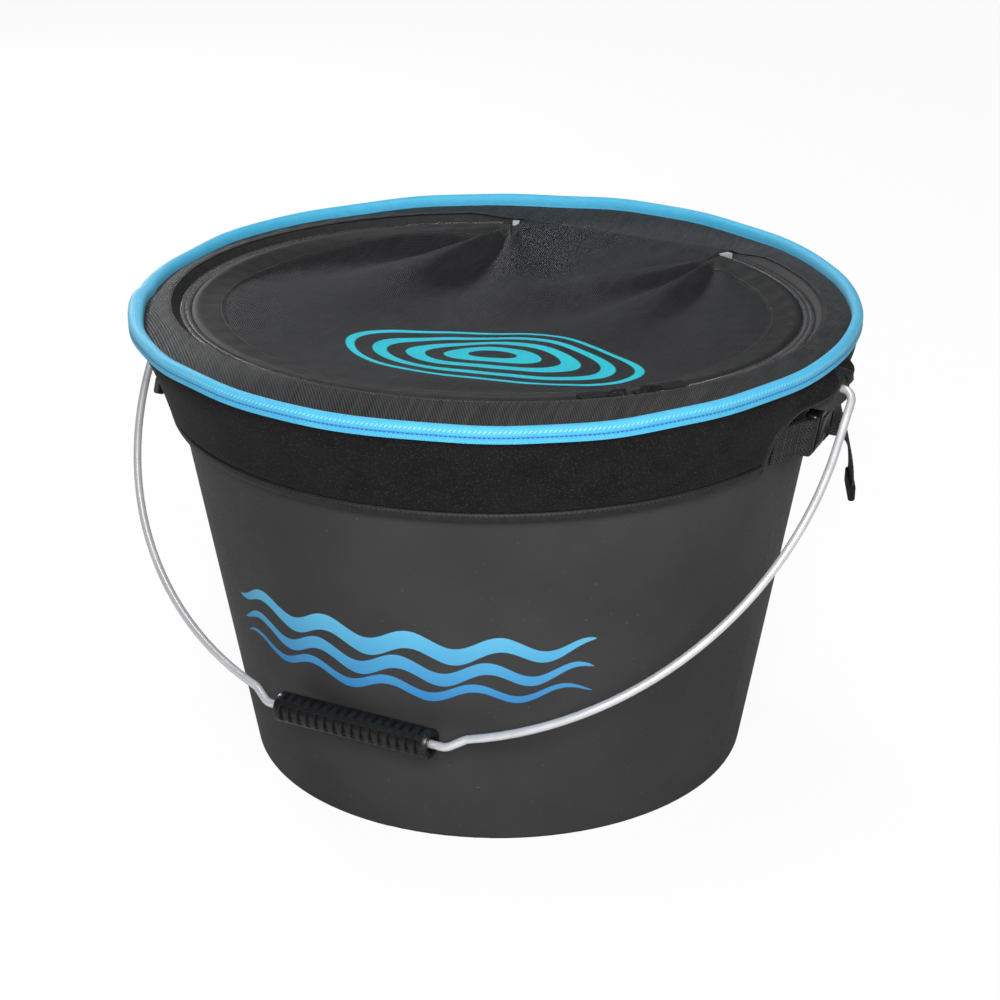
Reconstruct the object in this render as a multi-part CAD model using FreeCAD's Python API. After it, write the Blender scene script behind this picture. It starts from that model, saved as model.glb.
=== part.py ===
import FreeCAD, Part
import math
import os

from FreeCAD import Vector

# A round plastic bait bucket with a wire bail and a soft zipped cover strapped over its rim.
# Millimetres. The origin is the middle of the base, +Z is up, the bail's axis runs along X,
# the bail rests against the front (-Y) and the lid of the cover folds back about a line at +Y.

# Clearances
fit = 0.35
rest_gap = 0.3
overrun = 5.0

# Bucket
bucket_height = 252.0
floor_radius = 141.5
mouth_radius = 184.5
wall = 2.8
base_thickness = 3.0
base_recess = 4.0
base_edge_radius = 3.0
base_inner_radius = 8.0
foot_ring_width = 9.0
rim_overhang = 5.0
rim_depth = 9.0
rim_edge_radius = 2.0

# Ears that carry the bail
ear_drop = 8.5
ear_half_width = 12.0
ear_below = 9.0
ear_above = 6.5
ear_corner_radius = 5.0
ear_backing = 0.6
ear_pocket_depth = 7.5
ear_pocket_above = 5.0
ear_plate = 5.5
ear_cheek = 3.0

# Bail wire and grip
wire_diameter = 4.5
pivot_clearance = 0.25
bail_side_gap = 5.0
bail_bend_radius = 7.0
bail_leg = 26.7
bail_head_radius = 3.8
bail_head_thickness = 2.0
joggle_angle = 36.0
joggle_radius = 8.0
joggle_run = 8.0
bail_lean = 17.0
grip_length = 94.0
grip_radius = 8.2
grip_core_radius = 6.2
grip_end_play = 5.5
grip_rib_count = 17
grip_rib_width = 2.4
grip_rail_count = 4
grip_rail_width = 3.2
grip_rail_turn_share = 0.5
grip_mouth_radius = 5.2
grip_mouth_depth = 7.0

# Cover: panels, binding and skirt
panel_thickness = 1.2
cover_overhang = 10.5
binding_lift = 3.4
binding_height = 8.3
binding_width = 5.6
binding_thickness = 1.2
binding_chamfer = 1.0
piping_diameter = 2.8
seam_allowance = 3.4
panel_edge_lift = 1.0
skirt_thickness = 2.5
skirt_drop = 47.0
skirt_knee_gap = 0.6
skirt_knee_drop = 3.0
tape_thickness = 1.0
hem_height = 7.0
arch_half_width = 40.0
arch_rear_half_width = 47.0
arch_crown_radius = 15.0
arch_leg = 26.0
arch_top_strip = 2.0
arch_tape_width = 5.0

# Lid and zip
zip_set_in = 10.2
zip_free_angle = 50.0
zip_lift = 5.9
lid_tilt = 2.25
zip_row_gap = 1.8
zip_row_width = 2.2
zip_row_height = 2.2
zip_tape_thickness = 0.8
outer_tape_width = 6.2
outer_tape_reveal = 3.9
inner_tape_width = 12.0
inner_tape_reveal = 2.7
lid_sag = 10.0
lid_mid_sag_share = 0.75
hinge_setback = 8.0
zip_stop_length = 4.0
zip_stop_width = 7.0
zip_stop_height = 3.4
zip_stop_gap = 0.6

# Zip sliders and their pulls
slider_length = 12.0
slider_half_width = 4.4
slider_plate = 1.2
slider_flange = 0.9
slider_post_length = 5.0
slider_spacing = 16.0
slider_angle = -39.0
bridge_half_length = 3.6
bridge_leg = 1.0
bridge_bar = 1.0
bridge_room = 2.4
bridge_half_width = 1.1
pull_pin_radius = 0.7
pull_pin_height = 1.3
pull_pin_offset = 1.4
pull_arm = 1.0
pull_arm_length = 6.4
pull_tab_length = 13.6
pull_tab_half_width = 4.2
pull_tab_thickness = 1.4
pull_tab_corner_radius = 2.0

# Straps and side-release buckles under the ears
strap_width = 25.0
strap_thickness = 1.6
strap_level = 36.0
strap_standoff = 4.0
strap_turn = 4.0
strap_free_start = 39.0
strap_tuck_angle = 17.0
loop_lift = 0.95
buckle_height = 30.0
buckle_thickness = 7.8
buckle_back_gap = 0.6
buckle_corner_radius = 2.5
buckle_bar = 3.0
buckle_slot = 4.6
buckle_slot_margin = 0.5
socket_length = 24.0
socket_front = 19.0
socket_wall = 1.4
clip_length = 12.0
tongue_length = 9.0
tongue_half_height = 11.0
window_length = 7.0
right_tail_reach = 24.0
right_tail_out = 14.0
right_tail_drop = 46.0
right_tail_twists = (0.0, 0.0, -4.0, -10.0, -16.0, -20.0, -20.0)
left_tail_reach = 31.0
left_tail_out = 3.0
left_tail_drop = 19.0
left_tail_twists = (0.0, 0.0, 10.0, 25.0, 40.0, 50.0, 55.0)
tail_end_length = 9.0
tail_end_thickness = 4.4
tail_reach_shares = (0.0, 0.18, 0.42, 0.66, 0.83, 0.94, 1.0)
tail_out_shares = (0.0, 0.1, 0.3, 0.56, 0.79, 0.93, 1.0)
tail_drop_shares = (0.0, 0.02, 0.12, 0.33, 0.58, 0.8, 1.0)
strap_steps = 4

UP = Vector(0, 0, 1)
ACROSS = Vector(1, 0, 0)
BACK = Vector(0, 1, 0)
FULL_TURN = 360.0
HALF_TURN = 180.0
QUARTER_TURN = 90.0

# Sizes worked out from the ones above
taper = math.atan2(mouth_radius - floor_radius, bucket_height)
rim_under = bucket_height - rim_depth
rim_outer = mouth_radius + rim_overhang
rim_inner = mouth_radius - wall
inner_floor = base_recess + base_thickness
bail_z = bucket_height - ear_drop
pocket_start = rim_outer + ear_backing
plate_start = pocket_start + ear_pocket_depth
ear_reach = plate_start + ear_plate
wire_radius = wire_diameter / 2
bail_half_span = ear_reach + bail_side_gap + wire_radius
seat_half = grip_length / 2 + grip_end_play

seat_z = bucket_height + rest_gap
binding_bottom = seat_z + binding_lift
binding_top = binding_bottom + binding_height
binding_outer = rim_outer + cover_overhang
binding_inner = binding_outer - binding_width
skirt_top_inner = binding_inner + (binding_width - skirt_thickness) / 2
hem_z = bucket_height - skirt_drop
knee_z = rim_under - skirt_knee_drop
knee_inner = rim_outer + skirt_knee_gap
arch_top = binding_bottom - arch_top_strip

zip_radius = rim_inner - zip_set_in
tape_top = seat_z + zip_lift
tape_bottom = tape_top - zip_tape_thickness
row_top = (tape_top + tape_bottom + zip_row_height) / 2
row_bottom = row_top - zip_row_height
row_near = zip_row_gap / 2
row_far = row_near + zip_row_width
outer_tape_end = zip_radius + row_far + outer_tape_width
panel_lip = zip_radius + row_far + outer_tape_reveal
inner_tape_end = zip_radius - row_far - inner_tape_width
flap_edge = zip_radius - row_far - inner_tape_reveal
panel_top = tape_top + panel_thickness
zip_half_free = zip_free_angle / 2
zip_start = QUARTER_TURN + zip_half_free
zip_sweep = FULL_TURN - zip_free_angle
hinge_y = zip_radius * math.cos(math.radians(zip_half_free)) + hinge_setback

plate_bottom = row_top + fit
plate_top = plate_bottom + slider_plate
post_half = row_near - fit
strap_z = bucket_height - strap_level
bar_back = loop_lift + strap_thickness + fit
bar_front = bar_back + buckle_bar
buckle_front = buckle_back_gap + buckle_thickness
socket_back = socket_length - socket_front
clip_start = socket_back + fit
clip_end = clip_start + clip_length
half_strap = strap_width / 2
slot_half = half_strap + buckle_slot_margin


def wall_radius(z):
    """Outer radius of the bucket's wall at a height."""
    return floor_radius + (mouth_radius - floor_radius) * z / bucket_height


strap_rest = 2 * fit
hem_inner = wall_radius(hem_z) + strap_rest + strap_thickness + fit


def arc_degrees(length):
    """The angle that a length takes up along the zip."""
    return math.degrees(length / zip_radius)


def rounded_wire(points, place):
    """Close an outline of (a, b, corner radius) points with tangent arcs, put in space by place."""
    edges = []
    last = None
    first = None
    for i, (a, b, radius) in enumerate(points):
        before = points[i - 1]
        after = points[(i + 1) % len(points)]
        corner = Vector(a, b, 0)
        to_before = (Vector(before[0], before[1], 0) - corner).normalize()
        to_after = (Vector(after[0], after[1], 0) - corner).normalize()
        half = to_before.getAngle(to_after) / 2
        start = corner + to_before * (radius / math.tan(half))
        end = corner + to_after * (radius / math.tan(half))
        if last is not None:
            edges.append(Part.LineSegment(place(last), place(start)).toShape())
        if radius > 0:
            inward = (to_before + to_after).normalize()
            middle = corner + inward * (radius / math.sin(half) - radius)
            edges.append(Part.Arc(place(start), place(middle), place(end)).toShape())
        first = start if first is None else first
        last = end
    edges.append(Part.LineSegment(place(last), place(first)).toShape())
    return Part.Wire(edges)


def turned(points):
    """Turn an outline of (radius, height, corner radius) points about the bucket's axis."""
    face = Part.Face(rounded_wire(points, lambda p: Vector(p.x, 0, p.y)))
    return face.revolve(Vector(), UP, FULL_TURN)


def ring(points, start=0.0, sweep=FULL_TURN):
    """Turn a sharp outline of (radius, height) points about the axis, over a whole or part turn."""
    corners = [Vector(r, 0, z) for r, z in points]
    solid = Part.Face(Part.makePolygon(corners + corners[:1])).revolve(Vector(), UP, sweep)
    solid.rotate(Vector(), UP, start)
    return solid


def band(inner, outer, bottom, top, start=0.0, sweep=FULL_TURN):
    """A flat ring, or a stretch of one."""
    corners = ((inner, bottom), (outer, bottom), (outer, top), (inner, top))
    return ring(corners, start, sweep)


def block(low, high):
    """A box between two opposite corners."""
    size = [b - a for a, b in zip(low, high)]
    return Part.makeBox(*size, Vector(*low))


def half_space(y_low, y_high):
    """A box wider and taller than the cover, between two depths."""
    reach = binding_outer + overrun
    return block((-reach, y_low, -overrun), (reach, y_high, binding_top + overrun))


def opposite(shape):
    """The same shape on the other side of the bucket, half a turn round."""
    other = shape.copy()
    other.rotate(Vector(), UP, HALF_TURN)
    return other


def lean(shape):
    """Tilt what is made level at the zip's height, so that its front stands higher than its fold."""
    shape.rotate(Vector(0, 0, tape_top), ACROSS, -lid_tilt)
    return shape


def merge(shapes):
    """Join touching shapes into one clean solid."""
    return shapes[0].multiFuse(shapes[1:]).removeSplitter()


def bucket_ear():
    """The lug that stands out of the wall, with a bored plate and an open pocket behind it."""
    root = floor_radius
    outline = (
        (-ear_half_width, bail_z - ear_below, 0),
        (ear_half_width, bail_z - ear_below, 0),
        (ear_half_width, bail_z + ear_above, ear_corner_radius),
        (-ear_half_width, bail_z + ear_above, ear_corner_radius),
    )
    face = Part.Face(rounded_wire(outline, lambda p: Vector(root, p.x, p.y)))
    return face.extrude(ACROSS * (ear_reach - root))


def ear_openings():
    """The pocket behind the ear's plate and the bail's hole through it."""
    inside = ear_half_width - ear_cheek
    pocket = block(
        (pocket_start, -inside, bail_z - ear_below - overrun),
        (plate_start, inside, bail_z + ear_pocket_above),
    )
    length = ear_reach - pocket_start + overrun
    start = Vector(pocket_start, 0, bail_z)
    return [pocket, Part.makeCylinder(wire_radius + pivot_clearance, length, start, ACROSS)]


def bucket_shell():
    """Tapered bucket with a foot ring, a turned-out rim and two ears."""
    outside = turned((
        (0, 0, 0),
        (floor_radius, 0, base_edge_radius),
        (wall_radius(rim_under), rim_under, rim_edge_radius),
        (rim_outer, rim_under, rim_edge_radius),
        (rim_outer, bucket_height, rim_edge_radius),
        (0, bucket_height, 0),
    ))
    lead = bucket_height - rim_edge_radius
    top = bucket_height + overrun
    cavity = turned((
        (0, inner_floor, 0),
        (wall_radius(inner_floor) - wall, inner_floor, base_inner_radius),
        (wall_radius(lead) - wall, lead, 0),
        (rim_inner + rim_edge_radius, bucket_height, 0),
        (rim_inner + rim_edge_radius, top, 0),
        (0, top, 0),
    ))
    foot_inner = floor_radius - base_edge_radius - foot_ring_width
    recess = Part.makeCylinder(foot_inner, base_recess + overrun, Vector(0, 0, -overrun), UP)
    ear = bucket_ear()
    openings = ear_openings()
    solid = merge([outside, ear, opposite(ear)])
    cuts = [cavity, recess, *openings, *[opposite(s) for s in openings]]
    return solid.cut(cuts).removeSplitter()


def follow(point, heading, turn, radius):
    """The middle and end of a tangent arc that leaves a point at a heading and turns by an angle."""
    side = math.copysign(1, turn)
    around = Vector(-math.sin(heading), math.cos(heading), 0) * (side * radius)
    centre = point + around
    found = []
    for angle in (heading + turn / 2, heading + turn):
        found.append(centre + Vector(math.sin(angle), -math.cos(angle), 0) * (side * radius))
    return found


def bail_half():
    """Half of the bail's centre line, from the middle of the grip seat to the upset end."""
    bend = math.radians(joggle_angle)
    lean = math.radians(bail_lean)
    quarter = math.pi / 2
    path = []
    at = Vector(seat_half, 0, 0)
    path.append((Vector(), at))
    middle, end = follow(at, 0, bend, joggle_radius)
    path.append((at, middle, end))
    at = end + Vector(math.cos(bend), math.sin(bend), 0) * joggle_run
    path.append((end, at))
    middle, end = follow(at, bend, lean - bend, joggle_radius)
    path.append((at, middle, end))
    side_radius = (bail_half_span - end.x) / (1 - math.sin(lean))
    at = end
    middle, end = follow(at, lean, quarter - lean, side_radius)
    path.append((at, middle, end))
    at = end + Vector(0, bail_leg, 0)
    path.append((end, at))
    middle, end = follow(at, quarter, quarter, bail_bend_radius)
    path.append((at, middle, end))
    path.append((end, Vector(plate_start - fit - bail_head_thickness, end.y, 0)))
    return path


bail_path = bail_half()
bail_depth = bail_path[-1][-1].y
lean_sum = floor_radius * math.cos(taper) + bail_z * math.sin(taper) + grip_radius + rest_gap
bail_rest = math.asin(lean_sum / bail_depth) - taper
seat_y = -bail_depth * math.sin(bail_rest)
grip_z = bail_z - bail_depth * math.cos(bail_rest)


def hang(shape):
    """Turn a shape that hangs straight down from the ears to where the bail rests."""
    shape.rotate(Vector(0, 0, bail_z), ACROSS, -math.degrees(bail_rest))
    return shape


def bail_wire():
    """One bent wire with a joggle each side of the grip and upset ends inside the ears."""
    def hung(p, side):
        return Vector(side * p.x, 0, bail_z - bail_depth + p.y)

    edges = []
    for side, pieces in ((-1, [tuple(reversed(p)) for p in reversed(bail_path)]), (1, bail_path)):
        for piece in pieces:
            points = [hung(p, side) for p in piece]
            curve = Part.LineSegment(*points) if len(points) == 2 else Part.Arc(*points)
            edges.append(curve.toShape())
    spine = Part.Wire(edges)
    start = hung(bail_path[-1][-1], -1)
    section = Part.Wire([Part.makeCircle(wire_radius, start, ACROSS)])
    wire = spine.makePipeShell([section], True, False)
    heads = []
    for side in (-1, 1):
        place = hung(bail_path[-1][-1], side)
        heads.append(Part.makeCylinder(bail_head_radius, bail_head_thickness, place, ACROSS * side))
    return hang(merge([wire, *heads]))


def grip():
    """Ribbed tube on the bail: rings and lengthwise rails on a core, with wide mouths."""
    half = grip_length / 2
    pitch = (grip_length - grip_rib_width) / (grip_rib_count - 1)
    outline = [(-half, 0), (-half, grip_radius)]
    for i in range(grip_rib_count):
        left = -half + i * pitch
        right = left + grip_rib_width
        if i > 0:
            outline += [(left, grip_core_radius), (left, grip_radius)]
        if i < grip_rib_count - 1:
            outline += [(right, grip_radius), (right, grip_core_radius)]
    outline += [(half, grip_radius), (half, 0)]
    corners = [Vector(x, 0, r) for x, r in outline]
    body = Part.Face(Part.makePolygon(corners + corners[:1])).revolve(Vector(), ACROSS, FULL_TURN)
    full = Part.makeCylinder(grip_radius, grip_length, Vector(-half, 0, 0), ACROSS)
    rails = []
    for i in range(grip_rail_count):
        rail = block((-half, -grip_rail_width / 2, 0), (half, grip_rail_width / 2, grip_radius))
        rail.rotate(Vector(), ACROSS, FULL_TURN * (i + grip_rail_turn_share) / grip_rail_count)
        rails.append(rail.common(full))
    solid = merge([body, *rails])
    bore_start = Vector(-half - overrun, 0, 0)
    cuts = [Part.makeCylinder(wire_radius + fit, grip_length + 2 * overrun, bore_start, ACROSS)]
    mouth_length = grip_mouth_depth + overrun
    for side in (-1, 1):
        start = ACROSS * (side * (half - grip_mouth_depth))
        cuts.append(Part.makeCylinder(grip_mouth_radius, mouth_length, start, ACROSS * side))
    solid = solid.cut(cuts)
    solid.translate(Vector(0, 0, bail_z - bail_depth))
    return hang(solid)


def skirt_line(offset):
    """The skirt's outline points from the hem up to the binding, moved out by an offset."""
    return (
        (hem_inner + offset, hem_z),
        (knee_inner + offset, knee_z),
        (skirt_top_inner + offset, binding_bottom - fit),
    )


def skirt_layer(inside, outside):
    """A turned layer that follows the skirt, between two offsets from its inner face."""
    return ring((*skirt_line(inside), *reversed(skirt_line(outside))))


def arch(margin):
    """The opening in the skirt round the ear at +X, widened by a margin, as a cutter."""
    centre_z = arch_top - arch_crown_radius
    shoulder = hem_z + arch_leg
    points = [
        Vector(0, -arch_crown_radius, centre_z),
        Vector(0, -arch_half_width, shoulder),
        Vector(0, -arch_half_width, hem_z - overrun),
        Vector(0, arch_rear_half_width, hem_z - overrun),
        Vector(0, arch_rear_half_width, shoulder),
        Vector(0, arch_crown_radius, centre_z),
    ]
    edges = [Part.LineSegment(a, b).toShape() for a, b in zip(points, points[1:])]
    edges.append(Part.Arc(points[-1], Vector(0, 0, arch_top), points[0]).toShape())
    outline = Part.Wire(edges)
    if margin:
        outline = outline.makeOffset2D(margin, 2)
    return Part.Face(outline).extrude(ACROSS * (binding_outer + overrun))


def skirt():
    """Stretch skirt that hangs from the binding over the rim, arched round both ears."""
    cutter = arch(0)
    edge_outer = skirt_top_inner + skirt_thickness
    seam_bottom = binding_bottom - fit
    seam = band(skirt_top_inner, edge_outer, seam_bottom, binding_bottom + seam_allowance)
    layer = merge([skirt_layer(0, skirt_thickness), seam])
    return layer.cut([cutter, opposite(cutter)])


def hem_bands():
    """The stitched hem at the skirt's foot, one stretch in front and one behind."""
    inner = hem_inner + skirt_thickness + rest_gap
    outer = inner + tape_thickness
    slope = (knee_inner - hem_inner) / (knee_z - hem_z)
    top = hem_z + hem_height
    rise = slope * hem_height
    whole = ring(((inner, hem_z), (outer, hem_z), (outer + rise, top), (inner + rise, top)))
    cutter = arch(arch_tape_width)
    whole = whole.cut([cutter, opposite(cutter)])
    reach = binding_outer + overrun
    return whole.common(half_space(-reach, 0)), whole.common(half_space(0, reach))


def arch_binding():
    """The tape sewn along the edge of the arch round the right ear."""
    layer = skirt_layer(skirt_thickness, skirt_thickness + tape_thickness)
    return layer.common(arch(arch_tape_width)).cut(arch(0))


def rim_binding():
    """Folded tape that closes the cover's edge, a channel open below."""
    inner_wall = binding_inner + binding_thickness
    outer_wall = binding_outer - binding_thickness
    ceiling = binding_top - binding_thickness
    return ring((
        (binding_inner, binding_bottom),
        (inner_wall, binding_bottom),
        (inner_wall, ceiling),
        (outer_wall, ceiling),
        (outer_wall, binding_bottom),
        (binding_outer, binding_bottom),
        (binding_outer, binding_top - binding_chamfer),
        (binding_outer - binding_chamfer, binding_top),
        (binding_inner + binding_chamfer, binding_top),
        (binding_inner, binding_top - binding_chamfer),
    ))


def piping_core():
    """The stiffening cord inside the binding."""
    radius = piping_diameter / 2
    height = binding_top - binding_thickness - rest_gap - radius
    return Part.makeTorus(binding_outer - binding_width / 2, radius, Vector(0, 0, height), UP)


def tongue_half_angle(gap):
    """Half the angle between the zip's end stops, less a gap at each."""
    return zip_half_free - arc_degrees(zip_stop_length + zip_stop_gap + gap)


def tongue_sector(inner, bottom, top, gap):
    """The stretch of lid between the zip's ends, as far back as the fold line."""
    half = tongue_half_angle(gap)
    sector = band(inner, outer_tape_end + overrun, bottom, top, QUARTER_TURN - half, 2 * half)
    side = math.copysign(fit, gap - zip_stop_gap)
    return sector.common(half_space(0, hinge_y - side))


def ring_skin():
    """The sloping part of the ring panel, from the level binding to the tilted lip on the zip."""
    edge_low = binding_bottom + panel_edge_lift
    level = [Part.makeCircle(binding_inner, UP * z) for z in (edge_low, edge_low + panel_thickness)]
    tilted = [lean(Part.makeCircle(outer_tape_end, UP * z)) for z in (panel_top, tape_top)]
    circles = [*level, *tilted]
    faces = [Part.makeRuledSurface(a, b) for a, b in zip(circles, circles[1:] + circles[:1])]
    return Part.Solid(Part.Shell(faces))


def ring_panel():
    """The cover's outer panel: from the binding over the rim to a lip on the zip."""
    whole = band(panel_lip, outer_tape_end, tape_top, panel_top)
    room = tongue_sector(inner_tape_end, tape_bottom, panel_top + overrun, 0)
    strip = half_space(hinge_y + fit, binding_outer)
    back = band(0, outer_tape_end, tape_top, panel_top).common(strip)
    return merge([ring_skin(), lean(merge([whole.cut(room), back]))])


def lid_flap():
    """The lid: a sagging panel with a flat sewn edge and a tongue that folds at the back."""
    edge = inner_tape_end - fit
    dip = tape_top - lid_sag
    half_dip = tape_top - lid_sag * lid_mid_sag_share
    lift = UP * panel_thickness
    under = [Vector(0, 0, dip), Vector(edge / 2, 0, half_dip), Vector(edge, 0, tape_top)]
    lower = Part.Arc(*under)
    upper = Part.Arc(*[p + lift for p in reversed(under)])
    corners = [Vector(edge, 0, tape_top), Vector(flap_edge, 0, tape_top)]
    corners += [Vector(flap_edge, 0, panel_top), Vector(edge, 0, panel_top)]
    edges = [lower.toShape()]
    edges += [Part.LineSegment(a, b).toShape() for a, b in zip(corners, corners[1:])]
    edges.append(upper.toShape())
    edges.append(Part.LineSegment(under[0] + lift, under[0]).toShape())
    dish = Part.Face(Part.Wire(edges)).revolve(Vector(), UP, FULL_TURN)
    tongue = tongue_sector(edge, tape_top, panel_top, 2 * zip_stop_gap)
    whole = merge([dish, tongue])
    return lean(whole.common(half_space(-binding_outer, hinge_y - fit)))


def zip_band(near, far, bottom, top):
    """A stretch that follows the zip from end to end, between two offsets from its middle."""
    return lean(band(zip_radius + near, zip_radius + far, bottom, top, zip_start, zip_sweep))


def zip_stop(side):
    """The metal crimp at one end of the zip."""
    half_width = zip_stop_width / 2
    length = arc_degrees(zip_stop_length)
    at = zip_half_free - arc_degrees(zip_stop_gap) - length
    start = QUARTER_TURN + at if side < 0 else QUARTER_TURN - at - length
    top = (tape_top + tape_bottom + zip_stop_height) / 2
    inner = zip_radius - half_width
    return lean(band(inner, inner + zip_stop_width, top - zip_stop_height, top, start, length))


def along_zip(near, far, bottom, top, low, high):
    """A block that follows the zip's curve, between two distances along it from the X axis."""
    start = arc_degrees(low)
    return band(zip_radius + near, zip_radius + far, bottom, top, start, arc_degrees(high) - start)


def zip_slider():
    """Slider at the X axis: top plate, flanges, post, half lower plate and the pull's bridge."""
    half = slider_length / 2
    post = slider_post_length / 2
    flange_in = slider_half_width - slider_flange
    lower_top = row_bottom - fit
    lower = lower_top - slider_plate
    loop_top = plate_top + bridge_room
    leg_in = bridge_half_length - bridge_leg
    pieces = [
        along_zip(-slider_half_width, slider_half_width, plate_bottom, plate_top, -half, half),
        along_zip(-slider_half_width, -flange_in, tape_top + fit, plate_top, -half, half),
        along_zip(flange_in, slider_half_width, tape_top + fit, plate_top, -half, half),
        along_zip(-post_half, post_half, lower, plate_top, -post, post),
        along_zip(-slider_half_width, post_half, lower, lower_top, -half, half),
    ]
    spans = (
        (plate_bottom, loop_top, -bridge_half_length, -leg_in),
        (plate_bottom, loop_top, leg_in, bridge_half_length),
        (loop_top, loop_top + bridge_bar, -bridge_half_length, bridge_half_length),
    )
    for span in spans:
        pieces.append(along_zip(-bridge_half_width, bridge_half_width, *span))
    return merge(pieces)


def zip_pull(side):
    """Pull of a slider at the X axis: pin through the bridge, two arms and a rounded tab."""
    height = plate_top + pull_pin_height
    arm_in = bridge_half_width + fit
    arm_out = arm_in + pull_arm
    pin_y = side * pull_pin_offset
    pin_start = Vector(zip_radius - arm_out, pin_y, height)
    pin = Part.makeCylinder(pull_pin_radius, 2 * arm_out, pin_start, ACROSS)
    near = pin_y - side * pull_pin_radius
    tab_start = pin_y + side * pull_arm_length
    tab_end = tab_start + side * pull_tab_length
    pieces = [pin]
    for low, high in ((-arm_out, -arm_in), (arm_in, arm_out)):
        y_low, y_high = sorted((near, tab_start))
        pieces.append(block(
            (zip_radius + low, y_low, height - pull_pin_radius),
            (zip_radius + high, y_high, height + pull_pin_radius),
        ))
    outline = (
        (zip_radius - pull_tab_half_width, tab_start, 0),
        (zip_radius + pull_tab_half_width, tab_start, 0),
        (zip_radius + pull_tab_half_width, tab_end, pull_tab_corner_radius),
        (zip_radius - pull_tab_half_width, tab_end, pull_tab_corner_radius),
    )
    bottom = height - pull_tab_thickness / 2
    face = Part.Face(rounded_wire(outline, lambda p: Vector(p.x, p.y, bottom)))
    pieces.append(face.extrude(UP * pull_tab_thickness))
    return merge(pieces)


def slider_azimuth(side):
    """Where a slider rests on the zip, in degrees from +X."""
    return slider_angle + side * arc_degrees(slider_spacing / 2)


def on_zip(shape, side):
    """Move a slider or pull from the X axis to its place on the zip."""
    shape.rotate(Vector(), UP, slider_azimuth(side))
    return lean(shape)


def on_wall(shape):
    """Hold a shape made against the plane X = 0 just off the wall under the right ear."""
    shape.rotate(Vector(), BACK, math.degrees(taper))
    shape.translate(Vector(wall_radius(strap_z) + strap_standoff, 0, strap_z))
    shape.rotate(Vector(), UP, strap_turn)
    return shape


def on_the_wall(along):
    """Middle line (out, along) of webbing that lies on the wall, in the straps' own frame."""
    radius = wall_radius(strap_z)
    bow = (math.sqrt(radius**2 - along**2) - radius) * math.cos(taper)
    return bow - strap_standoff + strap_rest + strap_thickness / 2, along


def strap_run(places):
    """Webbing whose middle line follows (out, along) places."""
    half = strap_thickness / 2
    outer = []
    inner = []
    for i, (out, along) in enumerate(places):
        before = places[max(i - 1, 0)]
        after = places[min(i + 1, len(places) - 1)]
        ahead = Vector(after[0] - before[0], after[1] - before[1], 0).normalize()
        side = ahead.cross(UP) * half
        outer.append(Vector(out, along, -half_strap) + side)
        inner.append(Vector(out, along, -half_strap) - side)
    outline = outer + inner[::-1]
    return Part.Face(Part.makePolygon(outline + outline[:1])).extrude(UP * strap_width)


def wall_places(first, last):
    """Places on the wall between two distances along the strap."""
    step = (last - first) / strap_steps
    return [on_the_wall(first + step * i) for i in range(strap_steps + 1)]


def tuck(angle):
    """Distance along the strap at which an angle round the bucket is reached."""
    return wall_radius(strap_z) * math.sin(math.radians(angle))


def strap_loop(bar_low, bar_high):
    """Webbing folded round a buckle's bar."""
    around = fit + strap_thickness
    outer = block(
        (bar_back - around, bar_low - around, -half_strap),
        (bar_front + around, bar_high + around, half_strap),
    )
    inner = block(
        (bar_back - fit, bar_low - fit, -half_strap - overrun),
        (bar_front + fit, bar_high + fit, half_strap + overrun),
    )
    return outer.cut(inner)


def anchor_strap():
    """Front strap: sewn under the skirt, lying on the wall, then folded round the socket's bar."""
    bar_high = -socket_front + buckle_bar
    start = -tuck(strap_tuck_angle + strap_turn)
    leave = -strap_free_start - tuck(strap_turn)
    back_leg = bar_back - fit - strap_thickness / 2
    into_loop = [(back_leg, -socket_front - fit - strap_thickness), (back_leg, bar_high)]
    run = strap_run(wall_places(start, leave) + into_loop)
    return on_wall(merge([run, strap_loop(-socket_front, bar_high)]))


def rear_strap():
    """Rear strap, sewn under the skirt and lying on the wall, up to the fold that the clip carries."""
    start = clip_end + fit + strap_thickness
    return on_wall(strap_run(wall_places(start, tuck(strap_tuck_angle - strap_turn))))


def buckle_block(low, high):
    """A rounded block of a buckle between two places along the strap."""
    half = buckle_height / 2
    corner = buckle_corner_radius
    outline = ((low, -half, corner), (high, -half, corner), (high, half, corner), (low, half, corner))
    face = Part.Face(rounded_wire(outline, lambda p: Vector(buckle_back_gap, p.x, p.y)))
    return face.extrude(ACROSS * buckle_thickness)


def bar_cuts(bar_low, bar_high, slot_low, slot_high, outside):
    """The webbing slot beside a buckle's bar, and the room before and behind the bar."""
    low = min(bar_low, slot_low, outside)
    high = max(bar_high, slot_high, outside)
    return [
        block((-overrun, slot_low, -slot_half), (buckle_front + overrun, slot_high, slot_half)),
        block((-overrun, low, -slot_half), (bar_back, high, slot_half)),
        block((bar_front, low, -slot_half), (buckle_front + overrun, high, slot_half)),
    ]


def buckle_socket():
    """Female half: a hollow block with a webbing bar in front and windows for the prongs."""
    bar_low = -socket_front
    bar_high = bar_low + buckle_bar
    slot_high = bar_high + buckle_slot
    solid = buckle_block(bar_low, socket_back)
    cuts = bar_cuts(bar_low, bar_high, bar_high, slot_high, bar_low - overrun)
    back = buckle_back_gap + socket_wall
    front = buckle_front - socket_wall
    depth = tongue_length + fit
    cuts.append(block(
        (back, socket_back - depth, -tongue_half_height),
        (front, socket_back + overrun, tongue_half_height),
    ))
    window_high = socket_back - (socket_length - buckle_bar - buckle_slot - window_length) / 2
    cuts.append(block(
        (back, window_high - window_length, -buckle_height),
        (front, window_high, buckle_height),
    ))
    return on_wall(solid.cut(cuts))


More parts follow.
